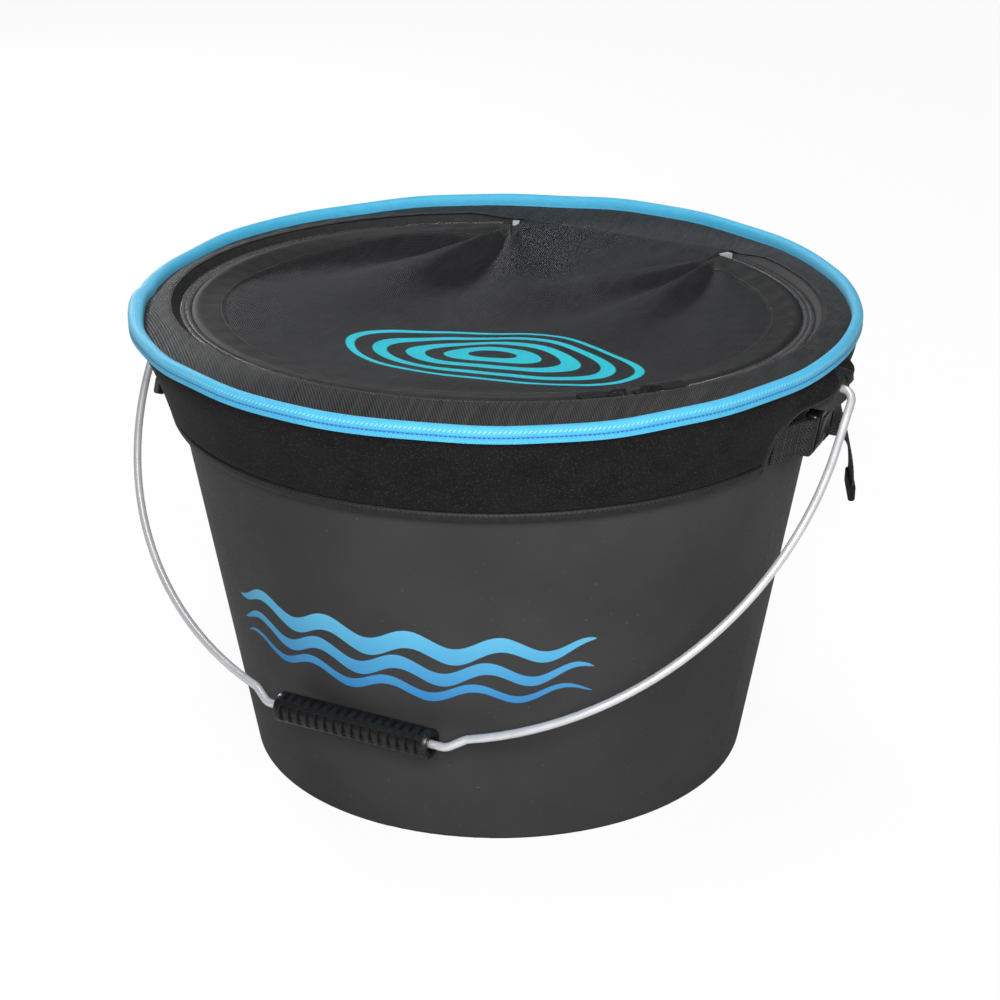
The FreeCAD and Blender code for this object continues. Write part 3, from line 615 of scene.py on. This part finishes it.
def binding_sway(theta):
    """How far the binding strays outwards and upwards, from (size, turns, phase) waves and one kink."""
    out = sum(size * math.sin(turns * theta + phase) for size, turns, phase in SWAY_OUT)
    up = sum(size * math.sin(turns * theta + phase) for size, turns, phase in SWAY_UP)
    kink = hump(degrees_round(theta), -158, 2.2)
    return out - 0.4 * kink, up - 0.9 * kink


def flare(theta):
    """How far the binding's outer half stands off where the cover was pushed outwards."""
    return 3.0 * hump(degrees_round(theta), -152, 15)


BINDING_PROFILE = (
    (200.7, 255.6), (200.1, 257.0), (200.5, 258.5), (200.6, 260.4), (200.2, 262.2),
    (199.0, 263.4), (197.3, 263.9), (196.2, 263.5), (195.2, 263.0), (194.6, 261.9),
    (194.3, 260.4), (194.3, 258.6), (194.6, 257.3), (194.3, 256.2),
)


def binding():
    def place(u, v):
        theta = u * math.tau
        out, up = binding_sway(theta)
        i = round(v * (len(BINDING_PROFILE) - 1))
        radius, height = BINDING_PROFILE[i]
        radius += out + flare(theta) * ease(radius, 195.5, 199)
        return (radius * math.cos(theta), radius * math.sin(theta), height + up), (theta * 197.2, v * 22)

    piece = cloth("binding_tape", 480, len(BINDING_PROFILE) - 1, place)
    thicken(piece, 0.9)
    dress(piece, "bucket", TAPE, "binding_tape", "rim_binding")


binding()


# Ring panel between the binding and the crest beside the zip
CREST = 3.4
SEAM_RADIUS, SEAM_HEIGHT = 195.4, 257.4
PLEAT_PITCH = 8.4


def ring_inner(theta):
    """Radius of the ring's inner edge, which follows the lid's fold at the back."""
    swing = abs(math.radians(degrees_round(theta - math.pi / 2)))
    if swing < FOLD_HALF:
        return FOLD_Y / math.cos(swing)
    return RING_EDGE + 1.0 * (1 - ease(swing, FOLD_HALF, FOLD_HALF + 0.05))


def ring_point(theta, k):
    """A point of the ring, k = 0 in the binding to k = 1 at the inner edge."""
    az = degrees_round(theta)
    out, up = binding_sway(theta)
    r_in = ring_inner(theta)
    swing = abs(degrees_round(theta - math.pi / 2))
    radius = SEAM_RADIUS + out
    outer = Vector((radius * math.cos(theta), radius * math.sin(theta), SEAM_HEIGHT + up))
    lift = 1.0 + 0.5 * ease(swing, 22.2, 22.8) + CREST * ease(swing, 24, 34)
    inner = Vector(lean(r_in * math.cos(theta), r_in * math.sin(theta), lift))
    rise = 1 - (1 - k) ** 1.5
    point = outer.lerp(inner, k)
    point.z = outer.z + (inner.z - outer.z) * rise
    run = theta * 187
    body = math.sin(math.pi * min(max(k, 0), 1))
    pleat = 0.25 + 0.9 * hump(az, 22, 26) + 0.35 * hump(az, 150, 30)
    phase = run / PLEAT_PITCH * math.tau / 2 + 1.6 * math.sin(run / 31)
    point.z += pleat * math.sin(phase) * body * (0.4 + 0.6 * k)
    point.z += 0.7 * ripple(point.x, point.y, 26) * body
    point.z -= 0.9 * hump(swing, 0, 30) * body
    return point


def ring_panel():
    def place(u, v):
        theta = u * math.tau
        point = ring_point(theta, v)
        return point, (point.x, point.y)

    piece = cloth("ring_cloth", 640, 12, place)
    thicken(piece, 0.8, 1)
    dress(piece, "bucket", PANEL, "panel_cloth", "ring_panel")
    return piece


RING = ring_panel()


# Lid with its sag and the folds that run from the zip's ends
LID_SAG = 12.0
FOLDS = ((115, 5.0, -100, 9), (65, 3.6, -96, 10))
FOLD_ROOT, FOLD_REACH, FOLD_SPREAD = 163, 70, 42


def lid_rise(x, y):
    """Height of the lid's cloth over the zip level: sag, folds, puckered edge and unevenness."""
    r = math.hypot(x, y)
    q = min(r / LID_EDGE, 1.0)
    slack = 1 - q * q
    h = 1.0 - LID_SAG * slack ** 0.85
    for end, size, start, count in FOLDS:
        px, py = FOLD_ROOT * math.cos(math.radians(end)), FOLD_ROOT * math.sin(math.radians(end))
        reach = math.hypot(x - px, y - py)
        angle = math.degrees(math.atan2(y - py, x - px))
        window = hump(angle, start, FOLD_SPREAD)
        fade = reach / FOLD_REACH * math.exp(1 - reach / FOLD_REACH)
        h += size * math.cos(math.radians(count * (angle - start))) * window * fade * min(1, slack * 5)
    az = math.degrees(math.atan2(y, x))
    run = math.radians(az) * LID_EDGE
    edge = math.exp(-(1 - q) * LID_EDGE / 14) * min(1, (1 - q) * 40)
    pucker = math.sin(run / 9.5 * math.tau / 2 + 1.3 * math.sin(run / 37))
    h += (0.35 + 0.6 * hump(az, 30, 30)) * pucker * edge
    h += (1.1 * ripple(x, y, 52, 3.1) + 0.5 * ripple(x, y, 23, 7.7)) * min(1, slack * 4)
    return h


def lid_outer(theta):
    """Radius of the lid's edge, which runs on to the fold at the back."""
    swing = abs(math.radians(degrees_round(theta - math.pi / 2)))
    fold = FOLD_Y / math.cos(min(swing, 0.5))
    return LID_EDGE + (fold - LID_EDGE) * (1 - ease(swing, FOLD_HALF + 0.004, FOLD_HALF + 0.024))


def lid():
    def place(u, v):
        theta = u * math.tau
        r = lid_outer(theta) * (1 - v) ** 0.9
        x, y = r * math.cos(theta), r * math.sin(theta)
        return lean(x, y, lid_rise(x, y)), (x, y)

    piece = cloth("lid_cloth", 420, 58, place)
    thicken(piece, 0.8, 0)
    dress(piece, None, LID, "panel_cloth", "lid_flap")
    # The underside carries no print
    piece.data.materials.append(PANEL)
    for face in piece.data.polygons:
        face.material_index = 1 if face.normal.z < 0 else 0
    return piece


LID_PIECE = lid()


# Zip: a facing each side, the coil between and its stitching
def zip_angle(u):
    return ZIP_START + u * (ZIP_END - ZIP_START)


OUTER_FACING = ((181.5, 0.2), (179.0, 0.55), (177.0, 0.6), (175.6, 0.35), (174.7, 0.05), (174.3, -0.5))
INNER_FACING = (
    (168.7, -0.5), (168.3, 0.1), (166.6, 0.9), (163.6, 0.45), (160.0, 0.5), (156.5, 0.5), (153.0, 0.5),
    (150.0, 0.1),
)
COIL_COUNT = 660
SEAM_COUNT = 370
LID_SEAM = 152.0


def facing(name, profile, body, node):
    def place(u, v):
        theta = zip_angle(u)
        i = v * (len(profile) - 1)
        radius = along_curve([p[0] for p in profile], v)
        h = along_curve([p[1] for p in profile], v) + 0.12 * ripple(theta * 60, i, 3.0)
        swing = abs(degrees_round(theta - math.pi / 2))
        h += CREST * ease(radius, 174.6, 179.5) * ease(swing, 24, 34)
        if radius < 170:
            under = min(radius, LID_EDGE)
            h += lid_rise(under * math.cos(theta), under * math.sin(theta)) * ease(radius, 168, LID_EDGE)
        return lean(radius * math.cos(theta), radius * math.sin(theta), h), (theta * 171, radius)

    piece = cloth(name, 420, 14, place)
    thicken(piece, 0.5, 0)
    dress(piece, body, FACING, "zip_tape", node)


def coil(name, near, body, node, shift):
    places = []
    for i in range(COIL_COUNT):
        theta = zip_angle(0.006 + 0.988 * (i + shift) / COIL_COUNT)
        radial = Vector((math.cos(theta), math.sin(theta), 0))
        point = Vector(lean(*(radial * near).xy, 0.25))
        places.append((point, radial, (0, 0, 1)))
    piece = strew(name, bead(4.2, 1.25, 1.9), places)
    dress(piece, body, COIL, "zip_coil", node)


facing("zip_outer_facing", OUTER_FACING, "bucket", "zip_outer_tape")
facing("zip_inner_facing", INNER_FACING, "lid", "zip_inner_tape")
coil("zip_outer_coil", 172.9, "bucket", "zip_outer_teeth", 0.0)
coil("zip_inner_coil", 170.1, "lid", "zip_inner_teeth", 0.5)


def cover_stitches():
    shape = bead(2.0, 0.5, 0.45)
    ring_row, lid_row = [], []
    for i in range(SEAM_COUNT):
        theta = zip_angle((i + 0.5) / SEAM_COUNT)
        along = Vector((-math.sin(theta), math.cos(theta), 0))
        ring_row.append((ring_point(theta, 0.9) + Vector((0, 0, 0.1)), along, (0, 0, 1)))
        x, y = LID_SEAM * math.cos(theta), LID_SEAM * math.sin(theta)
        lid_row.append((lean(x, y, lid_rise(x, y) + 0.6), along, (0, 0, 1)))
    dress(strew("ring_stitches", shape, ring_row), "bucket", BLACK_THREAD, "panel_cloth")
    dress(strew("lid_stitches", shape, lid_row), "lid", BLACK_THREAD, "panel_cloth")


cover_stitches()


# Skirt: a front and a back panel with an arch at each ear
SKIRT_LINE = (
    (205.0, 181.5), (210.4, 182.4), (211.2, 183.0), (214.0, 183.8), (219.0, 185.0), (225.0, 186.6),
    (231.0, 188.6), (237.0, 190.8), (243.0, 193.0), (248.0, 194.2), (252.0, 195.0), (255.5, 196.6),
    (258.5, 198.2),
)


def off_ear(theta):
    """Distance along Y from the ears' axis, where the skirt passes over them."""
    return abs(195 * math.sin(theta))


def skirt_radius(theta, z):
    """Outer radius of the skirt."""
    az = degrees_round(theta)
    out, _ = binding_sway(theta)
    high = ease(z, 225, 257)
    belly = max(0.0, math.sin(math.pi * (z - 208) / 50)) if 208 < z < 258 else 0.0
    swell = 0.3 + 7.5 * hump(az, 28, 13) + 0.6 * hump(az, -155, 25)
    uneven = 0.5 * ripple(theta * 180, z * 1.4, 34)
    near_ear = 1 - ease(off_ear(theta), 12, 32)
    over_ear = 10.5 * near_ear * ease(z, 233, 243) * (1 - ease(z, 250, 257))
    return between(z, SKIRT_LINE) + (out + flare(theta)) * high + (swell + uneven) * belly + over_ear


def arch_half(z, rear):
    """Half the arch's width at a height, in front of or behind the ear at the right."""
    return between(z, ARCH_REAR if rear else ARCH_FRONT)


SKIRT_FOOT = ((212.0, -2.6), (211.5, -1.4), (211.6, -0.5))
SKIRT_LEVELS = (
    212.2, 213.6, 215.4, 217.4, 219.8, 222.0, 225.0, 227.5, 229.5, 231.5, 233.5, 235.5, 237.5, 239.5, 241.3,
    243.0, 244.8, 246.5, 248.0, 249.5, 250.9, 252.0, 253.5, 255.0, 256.4, 258.0,
)
SKIRT_ROWS = SKIRT_FOOT + tuple((z, 0.0) for z in SKIRT_LEVELS)


def wrapped(theta, radius, z):
    return (radius * math.cos(theta), radius * math.sin(theta), z)


def panel_angle(front, z, radius, u):
    """Angle across a front or back panel between the arches, which are half a turn apart."""
    near, far = (math.asin(arch_half(z, rear) / radius) for rear in (not front, front))
    low, high = (-math.pi + far, -near) if front else (near, math.pi - far)
    return low + (high - low) * u


def skirt_panel(name, front):
    def place(u, v):
        z, tuck = SKIRT_ROWS[round(v * (len(SKIRT_ROWS) - 1))]
        radius = between(z, SKIRT_LINE)
        theta = panel_angle(front, z, radius, u)
        return wrapped(theta, skirt_radius(theta, z) + tuck, z), (theta * 190, z)

    piece = cloth(name, 200, len(SKIRT_ROWS) - 1, place)
    thicken(piece, 2.2, 1)
    dress(piece, "bucket", SKIRT, "skirt_neoprene", "skirt")
    return piece


HEM_LINE = (
    (210.9, -1.6), (210.2, -0.2), (209.2, 0.35), (207.6, 0.35), (206.2, 0.3), (205.3, -0.1), (205.0, -1.0),
    (205.5, -1.9),
)
HEM_SEAM = 209.4
HEM_STITCHES = 186


def hem_band(name, front, node):
    def place(u, v):
        z, out = HEM_LINE[round(v * (len(HEM_LINE) - 1))]
        radius = between(z, SKIRT_LINE)
        theta = panel_angle(front, z, radius, u)
        out += 0.15 * ripple(theta * 180, z, 5)
        return wrapped(theta, radius + out, z), (theta * 181, z)

    piece = cloth(name, 260, len(HEM_LINE) - 1, lambda u, v: place(u, 1 - v))
    thicken(piece, 0.9, 1)
    dress(piece, "bucket", HEM, "hem_tape", node)


ARCH_EDGE = [(-half, z) for z, half in ARCH_FRONT] + [(half, z) for z, half in ARCH_REAR[-2::-1]]


def arch_run(t):
    """Point (y, z) on the arch's edge, the direction away from its opening and the way along."""
    def spot(s):
        return Vector((along_curve([p[0] for p in ARCH_EDGE], s), along_curve([p[1] for p in ARCH_EDGE], s)))

    here = spot(t)
    ahead = (spot(min(t + 0.01, 1)) - spot(max(t - 0.01, 0))).normalized()
    return here, (-ahead.y, ahead.x), t * 150


ARCH_FOLD = (
    (3.4, -2.7), (1.4, -2.9), (-0.5, -2.2), (-1.0, -1.0), (-0.5, 0.3), (0.8, 0.7), (2.4, 0.6), (3.6, 0.15),
)
ARCH_STITCHES = 58
ARCH_SEAM = (2.4, 0.75)


def on_arch(t, inset, proud, turn):
    """A point near the arch's edge on the right side, or on the left where turn is -1."""
    (y, z), (ny, nz), _ = arch_run(min(max(t, 0.0), 1.0))
    room = 255.4 - z
    step = min(inset * nz, max(room, 0.2)) if nz > 0 else inset * nz
    y, z = y + inset * ny, z + step
    theta = math.asin(y / between(z, SKIRT_LINE))
    if turn < 0:
        theta += math.pi
    return wrapped(theta, skirt_radius(theta, z) + proud, z)


def arch_tape(side, turn):
    def place(u, v):
        inset, proud = ARCH_FOLD[round(v * (len(ARCH_FOLD) - 1))]
        return on_arch(u, inset, proud, turn), (arch_run(u)[2], inset)

    piece = cloth("arch_tape_" + side, 90, len(ARCH_FOLD) - 1, place)
    thicken(piece, 0.7, 1)
    dress(piece, "bucket", HEM, "hem_tape", "arch_binding_" + side)
    places = []
    for i in range(ARCH_STITCHES):
        t = (i + 0.5) / ARCH_STITCHES
        here, there = (Vector(on_arch(s, *ARCH_SEAM, turn)) for s in (t, t + 0.004))
        places.append((here, there - here, Vector((here.x, here.y, 0))))
    dress(strew("arch_stitches_" + side, bead(1.7, 0.45, 0.4), places), "bucket", BLACK_THREAD, "hem_tape")


def hem_stitches():
    places = []
    for front in (True, False):
        for i in range(HEM_STITCHES):
            theta = panel_angle(front, HEM_SEAM, 182.0, (i + 0.5) / HEM_STITCHES)
            radius = between(HEM_SEAM, SKIRT_LINE) + 0.45
            along, out = (-math.sin(theta), math.cos(theta), 0), (math.cos(theta), math.sin(theta), 0)
            places.append((wrapped(theta, radius, HEM_SEAM), along, out))
    dress(strew("hem_stitches", bead(1.9, 0.45, 0.4), places), "bucket", BLACK_THREAD, "hem_tape")


SKIRT_FRONT = skirt_panel("skirt_front", True)
SKIRT_BACK = skirt_panel("skirt_back", False)
hem_band("hem_front", True, "hem_band_front")
hem_band("hem_back", False, "hem_band_back")
arch_tape("right", 1)
arch_tape("left", -1)
hem_stitches()


# Straps and side-release buckles
OFF_WALL = Vector((WALL_RADIUS + STRAP_STANDOFF, 0, STRAP_LEVEL))
ON_WALL = (
    Matrix.Rotation(STRAP_TURN, 4, "Z") @ Matrix.Translation(OFF_WALL) @ Matrix.Rotation(WALL_LEAN, 4, "Y")
)
TO_SIDE = {"right": Matrix.Identity(4), "left": Matrix.Rotation(math.pi, 4, "Z")}


def set_on_wall(piece, side):
    """Move a piece from the strap's own frame to its place on the bucket."""
    place = TO_SIDE[side] @ ON_WALL
    place.translation *= MM
    piece.data.transform(place)


def wall_bow(y):
    """How far out webbing that lies on the wall is, in the strap's own frame."""
    return (math.sqrt(WALL_RADIUS ** 2 - y ** 2) - WALL_RADIUS) * math.cos(WALL_LEAN) - STRAP_STANDOFF + 1.4


def strap(name, path, side, columns, hang=None):
    """Webbing along (x, y, z) points, edges up and down; a tail's end turns its edge towards hang."""
    length = sum(math.dist(before, after) for before, after in zip(path, path[1:]))
    xs, ys, zs = ([p[i] for p in path] for i in range(3))

    def spot(t):
        return Vector((along_curve(xs, t), along_curve(ys, t), along_curve(zs, t)))

    def place(u, v):
        here = spot(u)
        up = Vector((0, 0, 1))
        if hang:
            ahead = (spot(min(u + 0.01, 1)) - spot(max(u - 0.01, 0))).normalized()
            up = up.lerp(Vector(hang), ease(u, 0.42, 0.74))
            up = (up - ahead * up.dot(ahead)).normalized()
        across = (v - 0.5) * 2 * HALF_STRAP
        return here + up * across, (u * length, across)

    piece = cloth(name, columns, 12, place)
    set_on_wall(piece, side)
    thicken(piece, 1.4, 1, 0.0)
    return piece


def box_stitches(name, side, low, high, body, proud):
    """Rows of stitching across a doubled strap, in the strap's own frame."""
    places = []
    rows = 4
    for row in range(rows):
        y = low + (high - low) * row / (rows - 1)
        for i in range(10):
            z = -9 + 18 * i / 9
            places.append(((proud(y), y, z), (0, 0.12, 1), (1, 0, 0)))
    piece = strew(name, bead(1.9, 0.55, 0.5), places)
    set_on_wall(piece, side)
    dress(piece, body, BLACK_THREAD, "webbing")


def buckle(side):
    body = block("buckle_socket_" + side, (0.6, -19, -12.6), (8.4, 5, 12.6), 2.4, 4)
    cut(body, block("slot", (-3, -16, -11.1), (12, -11.6, 11.1), 0.6, 2),
        block("window", (2.4, -6.5, 9.2), (6.6, 1.2, 18), 1.0, 3),
        block("window", (2.4, -6.5, -18), (6.6, 1.2, -9.2), 1.0, 3))
    pad = block("pad", (7.6, -8.5, -8), (9.0, 2.5, 8), 0.6, 3)
    body = joined("socket_" + side, body, pad)
    clip = block("buckle_clip_" + side, (0.6, 5.35, -12.6), (8.4, 17.35, 12.6), 2.0, 4)
    cut(clip, block("slot", (-3, 9.75, -11.1), (12, 14.3, 11.1), 0.6, 2))
    prongs = []
    for z in (10.4, -10.4):
        prongs.append(block("prong", (2.9, -5.8, z - 1.6), (6.1, 6.0, z + 1.6), 1.2, 3))
    clip = joined("clip_" + side, clip, *prongs)
    for piece in (body, clip):
        set_on_wall(piece, side)
        smooth(piece, 40)
    dress(body, "bucket", ACETAL, "buckle_plastic", "buckle_socket_" + side)
    dress(clip, "clip_" + side, ACETAL, "buckle_plastic", "buckle_clip_" + side)


TAIL_REACH = (0.0, 0.18, 0.42, 0.66, 0.83, 0.94, 1.0)
TAIL_OUT = (0.0, 0.1, 0.3, 0.56, 0.79, 0.93, 1.0)
TAIL_DROP = (0.0, 0.02, 0.12, 0.33, 0.58, 0.8, 1.0)
# Each tail's reach along the strap, outwards and down, and the way its end's edge points
TAILS = {"right": (24, 14, 46, (-0.4, 0.9, 0.1)), "left": (28, 9, 19, (0.5, -0.75, 0.1))}


def ramp(y):
    """The anchor strap's straight run from the wall up to the buckle."""
    return -10.0 + 0.407 * (y + 51.5)


def straps(side):
    anchor = [(wall_bow(y), y, 0.0) for y in (-63.5, -59, -55, -51.5)]
    anchor += [(ramp(y), y, 0.0) for y in (-44, -36, -29)]
    anchor += [(0.9, -24, 0), (1.75, -20, 0), (1.9, -17, 0), (2.8, -15, 0)]
    anchor += [(4.4, -14.2, 0), (6.2, -15, 0), (7.0, -17.5, 0)]
    anchor += [(6.0, -21, 0)] + [(ramp(y) + 1.75, y, 0.0) for y in (-25, -30, -35, -40, -45.5)]
    piece = strap("anchor_webbing_" + side, anchor, side, 150)
    dress(piece, "bucket", WEBBING, "webbing", "anchor_strap_" + side)
    box_stitches("anchor_stitches_" + side, side, -44, -28, "bucket", lambda y: ramp(y) + 2.55)
    rear = [(wall_bow(y), y, 0.0) for y in (40, 34, 28, 24)] + [(-3.0, 20.5, 0.0)]
    piece = strap("rear_webbing_" + side, rear, side, 40)
    dress(piece, "bucket", WEBBING, "webbing", "rear_strap_" + side)
    reach, out, drop, hang = TAILS[side]
    tail = [(1.6, 18.6, 0), (1.75, 16.5, 0), (2.6, 13.9, 0), (4.4, 12.9, 0), (6.3, 13.7, 0)]
    for r, o, d in zip(TAIL_REACH, TAIL_OUT, TAIL_DROP):
        tail.append((7.05 + out * o, 14.35 + reach * r, -drop * d))
    piece = strap("tail_webbing_" + side, tail, side, 150, hang)
    ahead = (Vector(tail[-1]) - Vector(tail[-2])).normalized()
    width = (Vector(hang) - ahead * ahead.dot(hang)).normalized()
    fold = block("tail_fold_" + side, (-2.0, -HALF_STRAP - 0.3, -5), (2.0, HALF_STRAP + 0.3, 5), 1.5, 4)
    turn = Matrix((width.cross(-ahead), width, -ahead)).transposed().to_4x4()
    fold.data.transform(Matrix.Translation(Vector(tail[-1]) * MM) @ turn)
    set_on_wall(fold, side)
    smooth(fold, 50)
    piece = joined("tail_webbing_" + side, piece, fold)
    dress(piece, "clip_" + side, WEBBING, "webbing", "strap_tail_" + side)


for side in ("right", "left"):
    buckle(side)
    straps(side)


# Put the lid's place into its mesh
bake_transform(LID_PIECE)


# Floor, light and camera, turned to the side that the view is from
VIEW_TURN = Matrix.Rotation(math.radians(28), 4, "Z")


def studio():
    deselect()
    bpy.ops.mesh.primitive_plane_add(size=8, location=(0, 0, -0.0004))
    floor = named("floor")
    f = Finish("pale floor", (0.5, 0.5, 0.5), 0.9, specular=0.05)
    path = f.tree.nodes.new("ShaderNodeLightPath")
    glow = f.add("ShaderNodeEmission", {"Color": (1, 1, 1, 1), "Strength": 1.09})
    seen = f.sums("MULTIPLY", path.outputs["Is Camera Ray"], 0.86)
    mixed = f.add("ShaderNodeMixShader", {0: seen, 1: f.shader.outputs[0], 2: glow})
    f.tree.links.new(mixed, f.tree.nodes["Material Output"].inputs["Surface"])
    floor.data.materials.append(f.material)

    world = bpy.data.worlds.new("studio")
    bpy.context.scene.world = world
    world.use_nodes = True
    tree = world.node_tree
    tree.nodes.clear()
    path = tree.nodes.new("ShaderNodeLightPath")
    most = tree.nodes.new("ShaderNodeMath")
    most.operation = "MAXIMUM"
    tree.links.new(path.outputs["Is Camera Ray"], most.inputs[0])
    tree.links.new(path.outputs["Is Transmission Ray"], most.inputs[1])
    dim, white = tree.nodes.new("ShaderNodeBackground"), tree.nodes.new("ShaderNodeBackground")
    dim.inputs["Color"].default_value = (1, 1, 1, 1)
    dim.inputs["Strength"].default_value = 0.07
    white.inputs["Color"].default_value = (1, 1, 1, 1)
    white.inputs["Strength"].default_value = 1.0
    mix = tree.nodes.new("ShaderNodeMixShader")
    tree.links.new(most.outputs[0], mix.inputs[0])
    tree.links.new(dim.outputs[0], mix.inputs[1])
    tree.links.new(white.outputs[0], mix.inputs[2])
    tree.links.new(mix.outputs[0], tree.nodes.new("ShaderNodeOutputWorld").inputs["Surface"])


def softbox(name, place, size, power):
    lamp = bpy.data.lights.new(name, "AREA")
    lamp.shape = "RECTANGLE"
    lamp.size, lamp.size_y = size
    lamp.energy = power
    box = bpy.data.objects.new(name, lamp)
    bpy.context.scene.collection.objects.link(box)
    box.location = place
    aim = Vector((0, 0, 0.15)) - Vector(place)
    box.rotation_euler = aim.to_track_quat("-Z", "Y").to_euler()


def camera():
    dist, drop, roll = 1.450, 0.405176, -0.003534
    lens = bpy.data.cameras.new("camera")
    lens.sensor_fit = "HORIZONTAL"
    lens.sensor_width = 36.0
    lens.lens = 2534.454 / 1000 * 36.0
    eye = bpy.data.objects.new("camera", lens)
    bpy.context.scene.collection.objects.link(eye)
    target = Vector((0.0010228, 0, 0.140035))
    place = target + Vector((0, -dist * math.cos(drop), dist * math.sin(drop)))
    look = (target - place).to_track_quat("-Z", "Y").to_matrix().to_4x4()
    eye.matrix_world = VIEW_TURN @ Matrix.Translation(place) @ look @ Matrix.Rotation(roll, 4, "Z")
    bpy.context.scene.camera = eye


studio()
softbox("key", VIEW_TURN @ Vector((0.05, -1.9, 1.25)), (0.9, 0.9), 44)
softbox("fill", VIEW_TURN @ Vector((1.3, -1.2, 0.9)), (0.9, 1.2), 1.5)
softbox("top", VIEW_TURN @ Vector((-0.15, 0.1, 2.2)), (1.3, 1.0), 13)
softbox("side", VIEW_TURN @ Vector((-0.9, 1.5, 0.8)), (0.5, 0.35), 13)
camera()
bpy.context.scene.view_settings.view_transform = "Standard"
